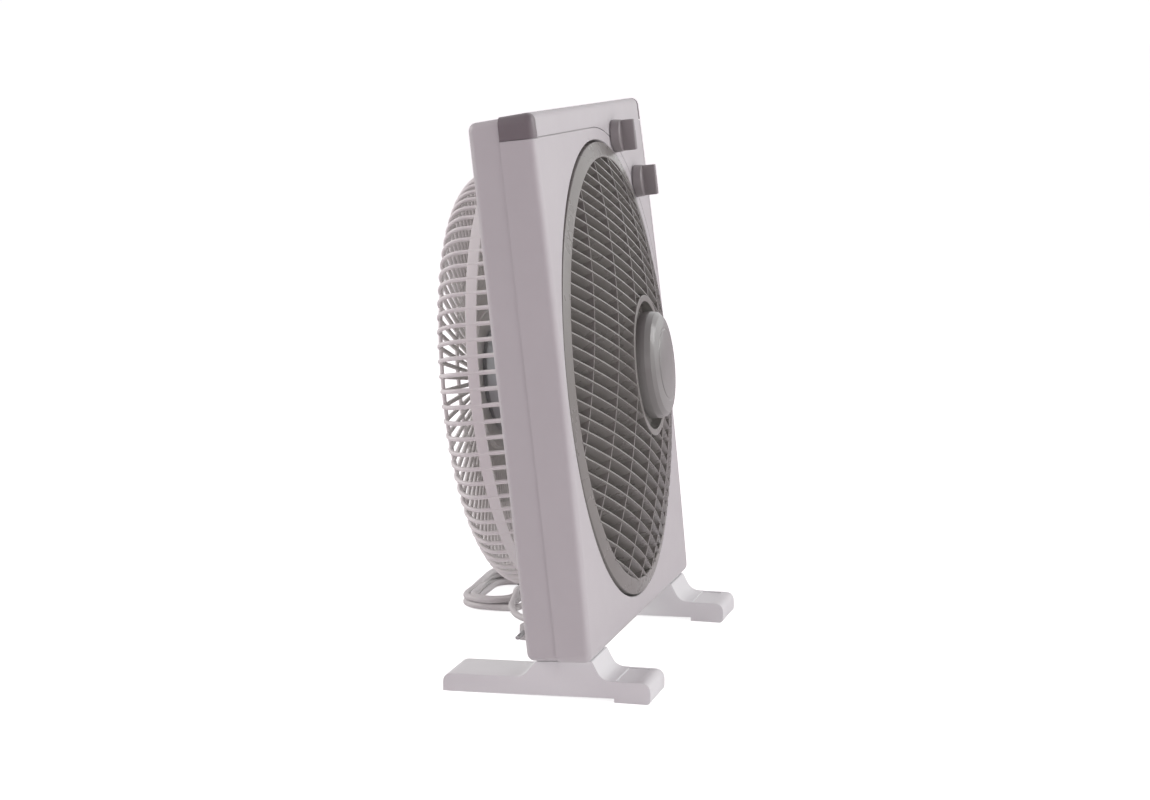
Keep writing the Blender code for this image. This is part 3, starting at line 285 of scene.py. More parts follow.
# %% [markdown]
# ## Making a piece
# Each piece is drawn in a bmesh, leaned with the casing, and given to the body that it moves with.
# Faces that meet at more than about 30 degrees keep a sharp edge, and all others are shaded round.


# %% From bmesh to piece
def piece(name, bm, finish, body="casing", stands_for=(), place=casing, mend=True, crease=32.0):
    """A finished piece in the scene, riding on a body."""
    if mend:
        bmesh.ops.remove_doubles(bm, verts=bm.verts, dist=0.000005)
        bmesh.ops.recalc_face_normals(bm, faces=bm.faces)
    bmesh.ops.transform(bm, matrix=place, verts=bm.verts)
    mesh = bpy.data.meshes.new(name)
    bm.to_mesh(mesh)
    bm.free()
    mesh.shade_smooth()
    mesh.set_sharp_from_angle(angle=math.radians(crease))
    obj = bpy.data.objects.new(name, mesh)
    bpy.context.scene.collection.objects.link(obj)
    mesh.materials.append(finish)
    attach(obj, body)
    if stands_for:
        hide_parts(*stands_for)
    print(name, len(mesh.polygons), "faces")
    return obj


def spun(bm, profile, steps, x=0.0, z=axis_height, closed=True):
    """Turns (radius, y) points about a line along the depth, and adds the shape to bm."""
    before = set(bm.verts)
    points = [bm.verts.new((x + r, y, z)) for r, y in profile]
    edges = [bm.edges.new(pair) for pair in zip(points, points[1:])]
    if closed:
        edges.append(bm.edges.new((points[-1], points[0])))
    bmesh.ops.spin(bm, geom=points + edges, cent=(x, 0.0, z), axis=(0.0, 1.0, 0.0),
                   angle=2 * math.pi, steps=steps, use_merge=True)
    fresh = [v for v in bm.verts if v not in before]
    bmesh.ops.remove_doubles(bm, verts=fresh, dist=0.000005)
    return fresh


def rounded(points, radius, steps=4):
    """The outline's points with its corners rounded; radius is one number or one for each."""
    radii = [radius] * len(points) if isinstance(radius, float) else radius
    smooth = []
    for i, here in enumerate(points):
        here = Vector(here)
        before = Vector(points[i - 1]) - here
        after = Vector(points[(i + 1) % len(points)]) - here
        half = before.angle(after, math.pi) / 2
        reach = min(radii[i] / math.tan(half), before.length * 0.49, after.length * 0.49)
        if reach < 1e-7 or half > 1.55:
            smooth.append(here)
            continue
        one, two = here + before.normalized() * reach, here + after.normalized() * reach
        for k in range(steps + 1):
            t = k / steps
            smooth.append(one * (1 - t) ** 2 + here * (2 * t * (1 - t)) + two * t * t)
    return smooth


def baked(obj):
    """A bmesh of what an object's modifiers make, and the object is gone."""
    graph = bpy.context.evaluated_depsgraph_get()
    bm = bmesh.new()
    bm.from_object(obj, graph)
    mesh = obj.data
    bpy.data.objects.remove(obj, do_unlink=True)
    bpy.data.meshes.remove(mesh)
    return bm


def loose(bm):
    """A bare object for a bmesh, for the Boolean modifiers to use."""
    bmesh.ops.recalc_face_normals(bm, faces=bm.faces)
    mesh = bpy.data.meshes.new("loose")
    bm.to_mesh(mesh)
    bm.free()
    obj = bpy.data.objects.new("loose", mesh)
    bpy.context.scene.collection.objects.link(obj)
    return obj


def carved(bm, *tools):
    """bm after each (operation, tool bmesh) in turn."""
    obj = loose(bm)
    used = []
    for operation, tool in tools:
        used.append(loose(tool))
        mod = obj.modifiers.new(operation, "BOOLEAN")
        mod.operation = operation
        mod.solver = "EXACT"
        mod.object = used[-1]
    result = baked(obj)
    for tool in used:
        bpy.data.objects.remove(tool, do_unlink=True)
    bmesh.ops.remove_doubles(result, verts=result.verts, dist=0.00001)
    return result


def cylinder(x, z, y0, y1, radius, steps=48):
    """A plain cylinder along the depth, as a bmesh."""
    bm = bmesh.new()
    bmesh.ops.create_cone(bm, cap_ends=True, segments=steps, radius1=radius, radius2=radius,
                          depth=y1 - y0, matrix=Matrix.Rotation(-math.pi / 2, 4, "X"))
    bmesh.ops.translate(bm, vec=(x, (y0 + y1) / 2, z), verts=bm.verts)
    return bm


def box(low, high, bevel=0.0):
    """A box between two corners, as a bmesh."""
    bm = bmesh.new()
    bmesh.ops.create_cube(bm, size=1.0)
    bmesh.ops.scale(bm, vec=[b - a for a, b in zip(low, high)], verts=bm.verts)
    bmesh.ops.translate(bm, vec=[(a + b) / 2 for a, b in zip(low, high)], verts=bm.verts)
    if bevel:
        bmesh.ops.bevel(bm, geom=bm.edges[:], offset=bevel, segments=4, profile=0.5,
                        affect="EDGES", clamp_overlap=True, material=-1)
    return bm


def prism(outline, low, high, axis="Y"):
    """An outline of (x, z) points pushed along the depth, or of (y, z) points along X."""
    bm = bmesh.new()
    at = (lambda a, b: (a, low, b)) if axis == "Y" else (lambda a, b: (low, a, b))
    face = bm.faces.new([bm.verts.new(at(a, b)) for a, b in outline])
    out = bmesh.ops.extrude_face_region(bm, geom=[face])
    moved = [v for v in out["geom"] if isinstance(v, bmesh.types.BMVert)]
    travel = Vector((0, high - low, 0)) if axis == "Y" else Vector((high - low, 0, 0))
    bmesh.ops.translate(bm, vec=travel, verts=moved)
    return bm


# %% [markdown]
# ## The casing
# The casing is two moulded shells that meet at a seam halfway back. Its sides draw in slightly
# towards the rear, its front face bows a little, and all its edges are round. A stretched cube
# with bevelled edges makes that form, and the same function, drawn in by a wall, makes the
# hollow that is cut from it.


# %% The casing's form
def form(inset, y0, y1, front_rim=0.0, rear_rim=0.0):
    """The casing's outline between two depths, drawn in by inset, as a bmesh."""
    bm = bmesh.new()
    bmesh.ops.create_cube(bm, size=2.0)
    for vert in bm.verts:
        y = y0 if vert.co.y < 0 else y1
        drawn = inset + draft * max(0.0, y) / casing_d
        vert.co = (math.copysign(casing_w / 2 - drawn, vert.co.x), y,
                   casing_h - drawn if vert.co.z > 0 else drawn)
    along = [e for e in bm.edges if abs(e.verts[0].co.y - e.verts[1].co.y) > 1e-6]
    bmesh.ops.bevel(bm, geom=along, offset=max(0.007 - inset, 0.002), segments=6, profile=0.5,
                    affect="EDGES", material=-1)
    for rim, y in ((front_rim, y0), (rear_rim, y1)):
        edges = [e for e in bm.edges if rim and all(abs(v.co.y - y) < 1e-6 for v in e.verts)]
        if edges:
            bmesh.ops.bevel(bm, geom=edges, offset=rim, segments=6, profile=0.5,
                            affect="EDGES", material=-1)
    if front_rim:
        for k in range(1, 16):
            bmesh.ops.bisect_plane(bm, geom=bm.verts[:] + bm.edges[:] + bm.faces[:],
                                   plane_co=(0.0, 0.0, casing_h * k / 16),
                                   plane_no=(0.0, 0.0, 1.0), dist=1e-6)
        for vert in bm.verts:
            if vert.co.y < y0 + front_rim + 1e-5:
                vert.co.y += crown_at(vert.co.z)
    return bm


def lathe(profile, steps=144, **where):
    """A bmesh with one turned shape in it."""
    bm = bmesh.new()
    spun(bm, profile, steps, **where)
    return bm


rim = 0.006
wall, skin, pocket = 0.0028, 0.0013, 0.0016
cap_x = casing_w / 2 - 0.010
knob_out, knob_angles = 0.0045, (68.0, 46.2)
knob_spots = [polar(panel_arc + knob_out, math.radians(a)) for a in knob_angles]
print("knobs at", [(round(x, 4), round(z, 4)) for x, z in knob_spots])

# %% [markdown]
# ## Control panel and corner caps
# A thin white panel lies flush in the front's top strip and follows the louvre round on the right.
# Dark caps close the two top corners. All of them are skins of the same casing form, so each is
# that form, cut to its own outline and hollowed by the form one skin thickness further in. The
# joints around them show as fine dark lines because each skin stops just short of its pocket.


# %% Outlines of the skins
def panel_space(clear):
    """The space that the panel takes, drawn in by clear."""
    right, radius = cap_x - clear, panel_arc + clear
    start = math.acos(right / radius)
    outline = [(right, casing_h + 0.002), (-right, casing_h + 0.002), (-right, panel_z + clear)]
    for k in range(49):
        a = math.pi / 2 + (start - math.pi / 2) * k / 48
        outline.append(polar(radius, a))
    return prism(outline, -0.010, 0.011 - clear)


def cap_space(sign, clear):
    """The space that a corner cap takes."""
    near, far = sorted((sign * (cap_x + clear), sign * (casing_w / 2 + 0.002)))
    return box((near, -0.010, panel_z + clear), (far, seam + 0.001, casing_h + 0.002))


def skin_piece(name, space, finish, *holes):
    """A skin of the casing's front inside a space."""
    bm = carved(form(0.0, 0.0, seam, front_rim=rim), ("INTERSECT", space),
                ("DIFFERENCE", form(skin, skin, seam + 0.002, front_rim=rim - skin)),
                *(("DIFFERENCE", hole) for hole in holes))
    return piece(name + "_piece", bm, finish, stands_for=[name])


skin_piece("control_panel", panel_space(0.0008), white,
           *(cylinder(x, z, -0.01, 0.012, 0.0038) for x, z in knob_spots))
skin_piece("corner_cap_left", cap_space(-1, gap), trim_grey)
skin_piece("corner_cap_right", cap_space(1, gap), trim_grey)

# %% [markdown]
# ## Front shell
# The front shell carries the louvre in a round opening with a short duct behind it. A flange at
# the duct's rear hides the louvre's edge. The opening is turned with many steps, so that its
# large circle stays round, and Boolean cuts take it out of the hollowed form.

# %% The front shell
front = form(0.0, 0.0, seam, front_rim=rim)
flange_r, flange_front, past_flange = 0.168, 0.0140, 0.022
lip_r, knob_hole_r = opening_r + 0.0010, 0.0038
duct_bore = [(0.0, -0.010), (lip_r, -0.010), (lip_r, -0.0012), (opening_r, 0.0002),
             (opening_r, flange_front), (flange_r, flange_front), (flange_r, past_flange),
             (0.0, past_flange)]
tools = [("DIFFERENCE", form(wall, 0.0032, seam + 0.002, front_rim=rim - wall)),
         ("UNION", cylinder(0.0, axis_height, 0.0002, 0.0164, opening_r + 0.002, 144)),
         ("DIFFERENCE", lathe(duct_bore, closed=False))]
skins = carved(panel_space(0.0), ("UNION", cap_space(-1, -gap)), ("UNION", cap_space(1, -gap)),
               ("DIFFERENCE", form(pocket, pocket, seam + 0.002, front_rim=rim - pocket)))
tools.append(("DIFFERENCE", skins))
tools += [("DIFFERENCE", cylinder(x, z, -0.01, 0.012, knob_hole_r)) for x, z in knob_spots]
piece("front_shell_piece", carved(front, *tools), white, stands_for=["front_shell"])

# %% [markdown]
# ## Rear shell
# The rear shell is drawn in by a step at the seam, so the joint reads as a line with a thin
# shadow. It has the round intake with a shroud round the blades, four deep screw sinks, and the
# hole that the cord's strain relief sits in.

# %% The rear shell
rear = form(step, seam + gap, casing_d, rear_rim=rim - step)
tools = [("DIFFERENCE", form(step + wall, seam - 0.0017, casing_d - 0.0026,
                             rear_rim=rim - wall - step)),
         ("UNION", cylinder(0.0, axis_height, 0.0225, casing_d - 0.001, intake_r + 0.002, 144)),
         ("DIFFERENCE", cylinder(0.0, axis_height, 0.01, 0.06, intake_r, 144))]
screw_in, boss_r, thread_r, sink_r = 0.014, 0.0055, 0.0020, 0.0040
boss_spots = [(sx * (casing_w / 2 - screw_in), z) for sx in (-1, 1)
              for z in (screw_in, casing_h - screw_in)]
for x, z in boss_spots:
    tools.append(("UNION", cylinder(x, z, seam - 0.0001, casing_d - 0.0012, boss_r, 32)))
for x, z in boss_spots:
    tools.append(("DIFFERENCE", cylinder(x, z, 0.02, 0.036, thread_r, 24)))
    tools.append(("DIFFERENCE", cylinder(x, z, 0.034, 0.06, sink_r, 32)))
relief_at = (0.115, 0.044)
tools.append(("DIFFERENCE", cylinder(*relief_at, 0.04, 0.06, 0.0045, 32)))
piece("rear_shell_piece", carved(rear, *tools), white, stands_for=["rear_shell"])

# %% [markdown]
# ## The louvre
# The louvre is a shallow dome of slanted slats between an outer rim and a hub, crossed by a few
# ribs. Slats and ribs are one idea: a strip that follows the dome at one offset from the axis.
# Each strip is a grid laid along its line and then given its thickness, and where a line meets
# the hub it becomes two strips. The whole lattice is turned, so the slats run down to the right.

# %% The dome and its strips
collar_r, hub_r, hub_face, collar_y = 0.1655, 0.0546, -0.0262, -0.0050
dome_k = (collar_y - hub_face) / (collar_r ** 2 - hub_r ** 2)
lattice_turn = math.radians(-22.5)


def dome(radius):
    """Depth of the dome's front at a radius."""
    return hub_face + dome_k * (max(radius, hub_r) ** 2 - hub_r ** 2)


def strip(bm, offset, start, end, front, deep, lean_by, across_slats):
    """One strip of the lattice from start to end along its line."""
    grid = bmesh.ops.create_grid(bm, x_segments=max(4, round((end - start) / 0.007)),
                                 y_segments=3, size=0.5)
    c, s = math.cos(lattice_turn), math.sin(lattice_turn)
    for vert in grid["verts"]:
        along = start + (end - start) * (vert.co.x + 0.5)
        back = vert.co.y + 0.5
        side = offset - lean_by * back
        u, v = (side, along) if across_slats else (along, side)
        y = dome(math.hypot(along, offset)) + front + deep * back
        vert.co = (u * c - v * s, y, axis_height + u * s + v * c)


def strips(pitch, count, front, deep, lean_by, thick, across_slats):
    """Parallel strips, pitch apart, cut short by the rim and the hub."""
    bm = bmesh.new()
    outer, inner = collar_r - 0.001, hub_r - 0.001
    for i in range(-count, count + 1):
        offset = i * pitch
        reach = math.sqrt(outer ** 2 - offset ** 2)
        ends = [(-reach, reach)]
        if abs(offset) < inner:
            hole = math.sqrt(inner ** 2 - offset ** 2)
            ends = [(-reach, -hole), (hole, reach)]
        for start, end in ends:
            strip(bm, offset, start, end, front, deep, lean_by, across_slats)
    bmesh.ops.recalc_face_normals(bm, faces=bm.faces)
    bmesh.ops.solidify(bm, geom=bm.faces[:], thickness=thick)
    return bm


slats = strips(pitch=0.0094, count=17, front=0.0004, deep=0.0095, lean_by=0.0034, thick=0.0016,
               across_slats=False)
piece("louvre_slats", slats, louvre_grey, body="louvre_unit", stands_for=["louvre"], mend=False)
ribs = strips(pitch=0.043, count=3, front=0.0003, deep=0.0080, lean_by=0.0, thick=0.0018,
              across_slats=True)
piece("louvre_ribs", ribs, louvre_grey, body="louvre_unit", stands_for=["louvre"], mend=False)

# %% [markdown]
# ## Rim and hub of the louvre
# Both are round, so both are turned from a profile. A profile is listed once as plain corners,
# and a small helper rounds them, because moulded corners are never quite sharp.


# %% Turned pieces
def turned(name, profile, finish, body="casing", radius=0.0006, steps=144, closed=True,
           stands_for=None, x=0.0, z=axis_height, crease=32.0):
    """A turned piece from (radius, y) corners; it stands for the node of its name, or others."""
    if closed:
        smooth = rounded(profile, radius)
    else:
        radii = [0.0] + [radius] * (len(profile) - 2) + [0.0]
        smooth = rounded(profile, radii)
    bm = lathe([tuple(p) for p in smooth], steps, x=x, z=z, closed=closed)
    label = name if stands_for else name + "_piece"
    return piece(label, bm, finish, body=body, stands_for=stands_for or [name], crease=crease)


turned("louvre_rim", [
    (collar_r, collar_y), (louvre_r, -0.0023), (louvre_r, 0.0060), (louvre_r - 0.002, 0.0060),
    (louvre_r - 0.002, -0.0007), (collar_r, collar_y + 0.0025), (collar_r, 0.0026),
    (collar_r - 0.002, 0.0026), (collar_r - 0.002, collar_y - 0.0003)], louvre_grey,
    body="louvre_unit", radius=0.0008, steps=192, stands_for=["louvre"])
boss_out, boss_in, disc_front, disc_rear = 0.0095, 0.0063, -0.0177, -0.0155
turned("louvre_hub", [
    (hub_r, hub_face - 0.0004), (hub_r, disc_rear), (boss_out, disc_rear), (boss_out, -0.0090),
    (boss_in, -0.0090), (boss_in, -0.0230), (boss_out, -0.0230), (boss_out, disc_front),
    (hub_r - 0.0040, disc_front), (hub_r - 0.0050, hub_face - 0.0004)], louvre_grey,
    body="louvre_unit", stands_for=["louvre"])

# %% [markdown]
# ## Centre cap
# The cap doesn't turn with the louvre. It is a disc with a soft shine, sloped sides, and a fine
# groove that sets off its domed middle.

# %% The centre cap
cap_r = 0.0415
turned("centre_cap", [
    (0.0, -0.0412), (0.0150, -0.0408), (0.0262, -0.0400), (0.0270, -0.0392), (0.0280, -0.0393),
    (0.0288, -0.0396), (0.0372, -0.0382), (0.0405, -0.0355), (cap_r, -0.0310), (cap_r, -0.0240),
    (cap_r - 0.0020, -0.0240), (cap_r - 0.0020, -0.0308), (0.0387, -0.0340), (0.0355, -0.0362),
    (0.0270, -0.0376), (0.0, -0.0390)], cap_grey, closed=False,
    radius=0.0004, crease=50.0)

# %% [markdown]
# ## Impeller
# Five broad blades stand on a hub. A blade twists and sweeps back towards its tip, so each is a
# grid that one function bends into place, its tip corners drawn in, and then it gets thickness.

# %% Hub and blades
blade_y = (0.0235, 0.0455)
blade_hub, blade_tip, blade_count, bore_r = 0.036, 0.148, 5, 0.0043
turned("impeller_hub", [
    (blade_hub - 0.0035, blade_y[0]), (blade_hub, blade_y[0] + 0.003), (blade_hub, blade_y[1]),
    (blade_hub - 0.0022, blade_y[1]), (blade_hub - 0.0022, blade_y[0] + 0.0035),
    (0.0090, blade_y[0] + 0.0025), (0.0090, 0.0440), (bore_r, 0.0440), (bore_r, blade_y[0])],
    smoky, body="impeller_unit", stands_for=["impeller"], steps=96)


def blade_at(k, share_out, t):
    """A point of blade k: share_out from root to tip, t from leading to trailing edge."""
    radius = blade_hub - 0.0012 + (blade_tip - blade_hub + 0.0012) * share_out
    out = max(0.0, (radius - blade_hub) / (blade_tip - blade_hub))
    near_tip = max(0.0, (out - 0.90) / 0.10)
    t = 0.5 + (t - 0.5) * (1.0 - 0.16 * near_tip ** 2)
    span = math.radians(60 - 14 * out * out)
    angle = 2 * math.pi * k / blade_count + math.radians(18) * out + span * (t - 0.5)
    y = sum(blade_y) / 2 + (0.0175 - 0.0045 * out) * (t - 0.5) + 0.0030 * math.sin(math.pi * t)
    x, z = polar(radius, angle)
    return (x, y, z)


blades = bmesh.new()
for k in range(blade_count):
    grid = bmesh.ops.create_grid(blades, x_segments=24, y_segments=24, size=0.5)
    for vert in grid["verts"]:
        vert.co = blade_at(k, vert.co.x + 0.5, vert.co.y + 0.5)
bmesh.ops.recalc_face_normals(blades, faces=blades.faces)
bmesh.ops.solidify(blades, geom=blades.faces[:], thickness=0.0018)
piece("impeller_blades", blades, smoky, body="impeller_unit", stands_for=["impeller"],
      mend=False)
turned("spinner_nut", [
    (0.0, 0.0155), (0.0080, 0.0159), (0.0125, 0.0178), (0.0140, 0.0208), (0.0140, 0.0232),
    (bore_r, 0.0232), (bore_r, 0.0176), (0.0, 0.0176)], black, body="impeller_unit",
    closed=False, steps=64)

# %% [markdown]
# ## Rear cage
# The cage is moulded in one piece: a base ring, many round ribs that run back along the wall and
# turn in over a rounded corner, rings that tie them, and a plate that carries the motor. A rib
# is a wire along a path, so all the ribs are one curve with a round section, made a mesh.

# %% Ribs
cage_r, cage_rear, cage_corner, cage_dome = 0.163, 0.102, 0.020, 0.002
flat_r, plate_r, rib_d, rib_count = cage_r - cage_corner, 0.054, 0.0034, 84


def cage_depth(radius):
    """Depth of the cage's back, which stands out a little in the middle."""
    return cage_rear + cage_dome * (1.0 - (radius / flat_r) ** 2)


def wires(routes, thickness, sides=3):
    """A bmesh of round wires along routes of points."""
    curve = bpy.data.curves.new("wires", "CURVE")
    curve.dimensions = "3D"
    curve.bevel_depth = thickness / 2
    curve.bevel_resolution = sides
    curve.use_fill_caps = True
    for route in routes:
        spline = curve.splines.new("POLY")
        spline.points.add(len(route) - 1)
        for point, place in zip(spline.points, route):
            point.co = (*place, 1.0)
    holder = bpy.data.objects.new("wires", curve)
    bpy.context.scene.collection.objects.link(holder)
    mesh = bpy.data.meshes.new_from_object(
        holder.evaluated_get(bpy.context.evaluated_depsgraph_get()))
    bm = bmesh.new()
    bm.from_mesh(mesh)
    bpy.data.objects.remove(holder, do_unlink=True)
    bpy.data.curves.remove(curve)
    bpy.data.meshes.remove(mesh)
    return bm


side_path = [(cage_r - rib_d / 2, 0.0505), (cage_r - rib_d / 2, cage_rear - cage_corner)]
for k in range(1, 9):
    a = math.pi / 2 * k / 8
    side_path.append((flat_r + (cage_corner - rib_d / 2) * math.cos(a),
                      cage_rear - cage_corner + (cage_corner - rib_d / 2) * math.sin(a)))
for k in range(1, 7):
    r = flat_r + (plate_r - 0.001 - flat_r) * k / 6
    side_path.append((r, cage_depth(r) - rib_d / 2))
routes = []
for k in range(rib_count):
    angle = 2 * math.pi * (k + 0.25) / rib_count
    routes.append([(r * math.cos(angle), y, axis_height + r * math.sin(angle))
                   for r, y in side_path])
piece("cage_ribs", wires(routes, rib_d), cage_white_with_painted_light, stands_for=["rear_grille"], crease=60.0)

# %% Rings, band and plate
mid_ring, wire_r = 0.097, 0.0016
rings = bmesh.new()
for r in (flat_r, mid_ring, plate_r):
    round_section = [(r + wire_r * math.cos(a), cage_depth(r) - rib_d / 2 - 0.0004
                      + wire_r * math.sin(a))
                     for a in (2 * math.pi * k / 12 for k in range(12))]
    spun(rings, round_section, 144)
spun(rings, rounded([(cage_r - 0.0003, 0.0665), (cage_r - 0.0003, 0.0750),
                     (cage_r - 0.0025, 0.0750), (cage_r - 0.0025, 0.0665)], 0.0006), 144)
spun(rings, rounded([(cage_r + 0.0004, 0.0493), (cage_r + 0.0004, 0.0523), (0.1561, 0.0523),
                     (0.1561, 0.0493)], 0.0006), 144)
piece("cage_rings", rings, cage_white_with_painted_light, stands_for=["rear_grille"])
motor_front, motor_split, motor_r, seat_out, seat_in = 0.050, 0.0735, 0.042, 0.0105, 0.0083
motor_rear = motor_front + 0.0473
turned("cage_plate", [
    (0.0, motor_rear + 0.0003), (plate_r, motor_rear + 0.0003), (plate_r, cage_rear + 0.0022),
    (plate_r - 0.0022, cage_rear + 0.0022), (plate_r - 0.0022, motor_rear + 0.0027),
    (0.0, motor_rear + 0.0027)], cage_white_with_painted_light, closed=False, stands_for=["rear_grille"])

# %% [markdown]
# ## Motor
# The motor hangs on the cage's plate: two pressed covers round a stack of iron sheets, with the
# copper windings showing at both ends. All of it is turned from the same few radii.

# %% Motor
inside = motor_r - 0.002
turned("motor_front_cover", [
    (seat_out, motor_front - 0.002), (seat_out, motor_front), (motor_r - 0.004, motor_front),
    (motor_r, motor_front + 0.004), (motor_r, motor_split - 0.0003),
    (inside, motor_split - 0.0003), (inside, motor_front + 0.005),
    (inside - 0.003, motor_front + 0.002), (seat_out, motor_front + 0.002),
    (seat_out, motor_front + 0.0105), (seat_in, motor_front + 0.0105),
    (seat_in, motor_front + 0.0025), (0.0045, motor_front + 0.0025),
    (0.0045, motor_front - 0.002)], zinc, steps=96)
turned("motor_rear_cover", [
    (0.0, motor_rear - 0.0027), (seat_in, motor_rear - 0.0027), (seat_in, motor_rear - 0.0108),
    (seat_out, motor_rear - 0.0108), (seat_out, motor_rear - 0.002),
    (inside - 0.003, motor_rear - 0.002), (inside, motor_rear - 0.005), (inside, motor_split),
    (motor_r, motor_split), (motor_r, motor_rear - 0.004), (motor_r - 0.004, motor_rear),
    (0.0, motor_rear)], zinc, steps=96, closed=False)
for name, low_r, high_r, y0, y1, finish in (
        ("motor_stator", 0.0230, inside - 0.0003, 0.0630, 0.0840, sheets),
        ("winding_front", 0.0250, 0.0365, 0.0560, 0.0627, copper),
        ("winding_rear", 0.0250, 0.0365, 0.0843, 0.0915, copper)):
    turned(name, [(high_r, y0), (high_r, y1), (low_r, y1), (low_r, y0)], finish, steps=96)

# %% [markdown]
# ## Knobs
# A knob is a low skirt with a bar across it to grip. A pale line in the bar's end points at the
# setting. Skirt, bar and line ride on the knob's own body, so they turn together.

# %% Knobs
skirt_r, skirt_h, socket_r, socket_h = 0.0132, 0.0075, 0.0033, 0.0060
bar_half_w, bar_half_l, bar_h = 0.0031, 0.0122, 0.0175
for kind, spot in zip(("speed", "timer"), knob_spots):
    x, z = spot
    node = "speed_switch_knob" if kind == "speed" else "timer_knob"
    body = kind + "_knob_unit"
    rear_y = crown_at(z) - 0.0005
    turned(kind + "_knob_skirt", [
        (0.0, rear_y - skirt_h), (0.0114, rear_y - skirt_h), (0.0126, rear_y - 0.0067),
        (skirt_r, rear_y), (socket_r, rear_y), (socket_r, rear_y - socket_h),
        (0.0, rear_y - socket_h)],
        knob_grey, body=body, closed=False, steps=96, stands_for=[node], x=x, z=z)
    piece(kind + "_knob_bar", box((x - bar_half_w, rear_y - bar_h, z - bar_half_l),
                                  (x + bar_half_w, rear_y - 0.0066, z + bar_half_l), 0.0011),
          knob_grey, body=body, stands_for=[node])
    piece(kind + "_knob_line", box((x - 0.0006, rear_y - 0.0178, z + 0.0030),
                                   (x + 0.0006, rear_y - 0.0172, z + 0.0112), 0.0002),
          white, body=body, stands_for=[node])

# %% [markdown]
# ## Feet
# Each foot is one outline across the fan, pushed sideways to its width: a long low tail, a saddle
# that carries the casing, and a toe that turns down to its pad. All its long edges are round.
# The outline stands upright in the room, while the casing leans, so it needs the room's axes.


# %% Feet
def in_room(y, z):
    """World (y, z) of a point on the leaning casing."""
    place = casing @ Vector((0.0, y, z))
    return place.y, place.z


tail = corner.y + 0.1142
nose = tail - 0.156
front_seat = in_room(0.0022, -gap)
back_seat = in_room(casing_d - 0.0045, draft * 0.9 - gap)
foot_outline = [(tail, 0.0), (tail - 0.005, 0.0), (nose + 0.027, 0.0030), (nose + 0.027, 0.0),
                (nose, 0.0), (nose, 0.0158), (nose + 0.0365, 0.0156), front_seat, back_seat,
                (tail - 0.0600, 0.0146), (tail, 0.0132)]
foot_radii = [0.0008, 0.0, 0.0004, 0.0004, 0.0035, 0.0078, 0.0120, 0.0015, 0.0020, 0.0100, 0.0115]
foot_w, foot_mid = 0.052, casing_w / 2 - 0.0124 - 0.026
for side, sign in (("left", -1), ("right", 1)):
    middle = sign * foot_mid
    bm = prism(rounded(foot_outline, foot_radii, 6), middle - foot_w / 2, middle + foot_w / 2,
               axis="X")
    ends = [e for e in bm.edges if abs(e.verts[0].co.x - e.verts[1].co.x) < 1e-6]
    bmesh.ops.bevel(bm, geom=ends, offset=0.0011, segments=4, profile=0.5, affect="EDGES",
                    clamp_overlap=True, material=-1)
    tread = box((middle - foot_w / 2 + 0.003, nose + 0.0105, 0.0150),
                (middle + foot_w / 2 - 0.003, nose + 0.0265, 0.0200))
    bm = carved(bm, ("DIFFERENCE", tread))
    piece(f"foot_{side}_piece", bm, foot_white, stands_for=["foot_" + side], place=upright)

# %% [markdown]
# ## Strain relief
# Where the cord leaves the casing it goes through a tapered sleeve whose ribs let it bend gently.

# %% Strain relief
profile = [(0.0, casing_d - 0.0046), (0.0065, casing_d - 0.0046), (0.0065, casing_d - 0.0029),
           (0.0042, casing_d - 0.0029), (0.0042, casing_d + gap), (0.0058, casing_d + gap),
           (0.0057, casing_d + 0.0030)]
relief_end = 0.0745
for k in range(7):
    y = casing_d + 0.0032 + k * 0.0031
    r = 0.0053 - 0.0002 * k
    profile += [(r - 0.0010, y), (r - 0.0010, y + 0.0010), (r, y + 0.0012), (r, y + 0.0028)]
profile += [(0.0036, relief_end), (0.0, relief_end)]
relief = turned("strain_relief", profile, pvc, closed=False, radius=0.0002, steps=48,
                x=relief_at[0], z=relief_at[1])

# %% [markdown]
# ## The cord
# The cord drops from its exit to the floor behind the fan, lies in a small wound hank, and runs on
# to its plug. A hank is four turns of one path with straight sides and round ends. Each turn has
# its own place in the bundle, given by how far out and how high it lies, and slides over to the
# next place along a straight side. The points are joined by one smooth curve.

# %% The cord's route
cord_d = 0.0055
hank_x, hank_y, half_run = 0.165, 0.155, 0.035
OUT_LOW, IN_LOW = (0.02275, 0.00405), (0.0171, 0.00405)
IN_HIGH, OUT_HIGH, TOP = (0.0171, 0.00955), (0.02275, 0.00955), (0.0199, 0.0144)


def glide(one, two, t):
    """Between two places in the bundle, starting and ending gently."""
    t = min(1.0, max(0.0, t))
    t = t * t * (3 - 2 * t)
    return one[0] + (two[0] - one[0]) * t, one[1] + (two[1] - one[1]) * t


def turn_points(left, far, right, near):
    """One turn from the hank's left end round to it again: (before, after) for each side."""
    points = []
    for k in range(4):
        r, z = left
        a = math.pi - math.pi / 2 * k / 4
        points.append((hank_x - half_run + r * math.cos(a), hank_y + r * math.sin(a), z))
    for k in range(5):
        r, z = glide(*far, k / 4)
        points.append((hank_x - half_run + 2 * half_run * k / 4, hank_y + r, z))
    for k in range(1, 8):
        r, z = right
        a = math.pi / 2 - math.pi * k / 8
        points.append((hank_x + half_run + r * math.cos(a), hank_y + r * math.sin(a), z))
    for k in range(5):
        r, z = glide(*near, k / 4)
        points.append((hank_x + half_run - 2 * half_run * k / 4, hank_y - r, z))
    r, z = near[1]
    for k in range(1, 4):
        a = -math.pi / 2 - math.pi / 2 * k / 4
        points.append((hank_x - half_run + r * math.cos(a), hank_y + r * math.sin(a), z))
    return points


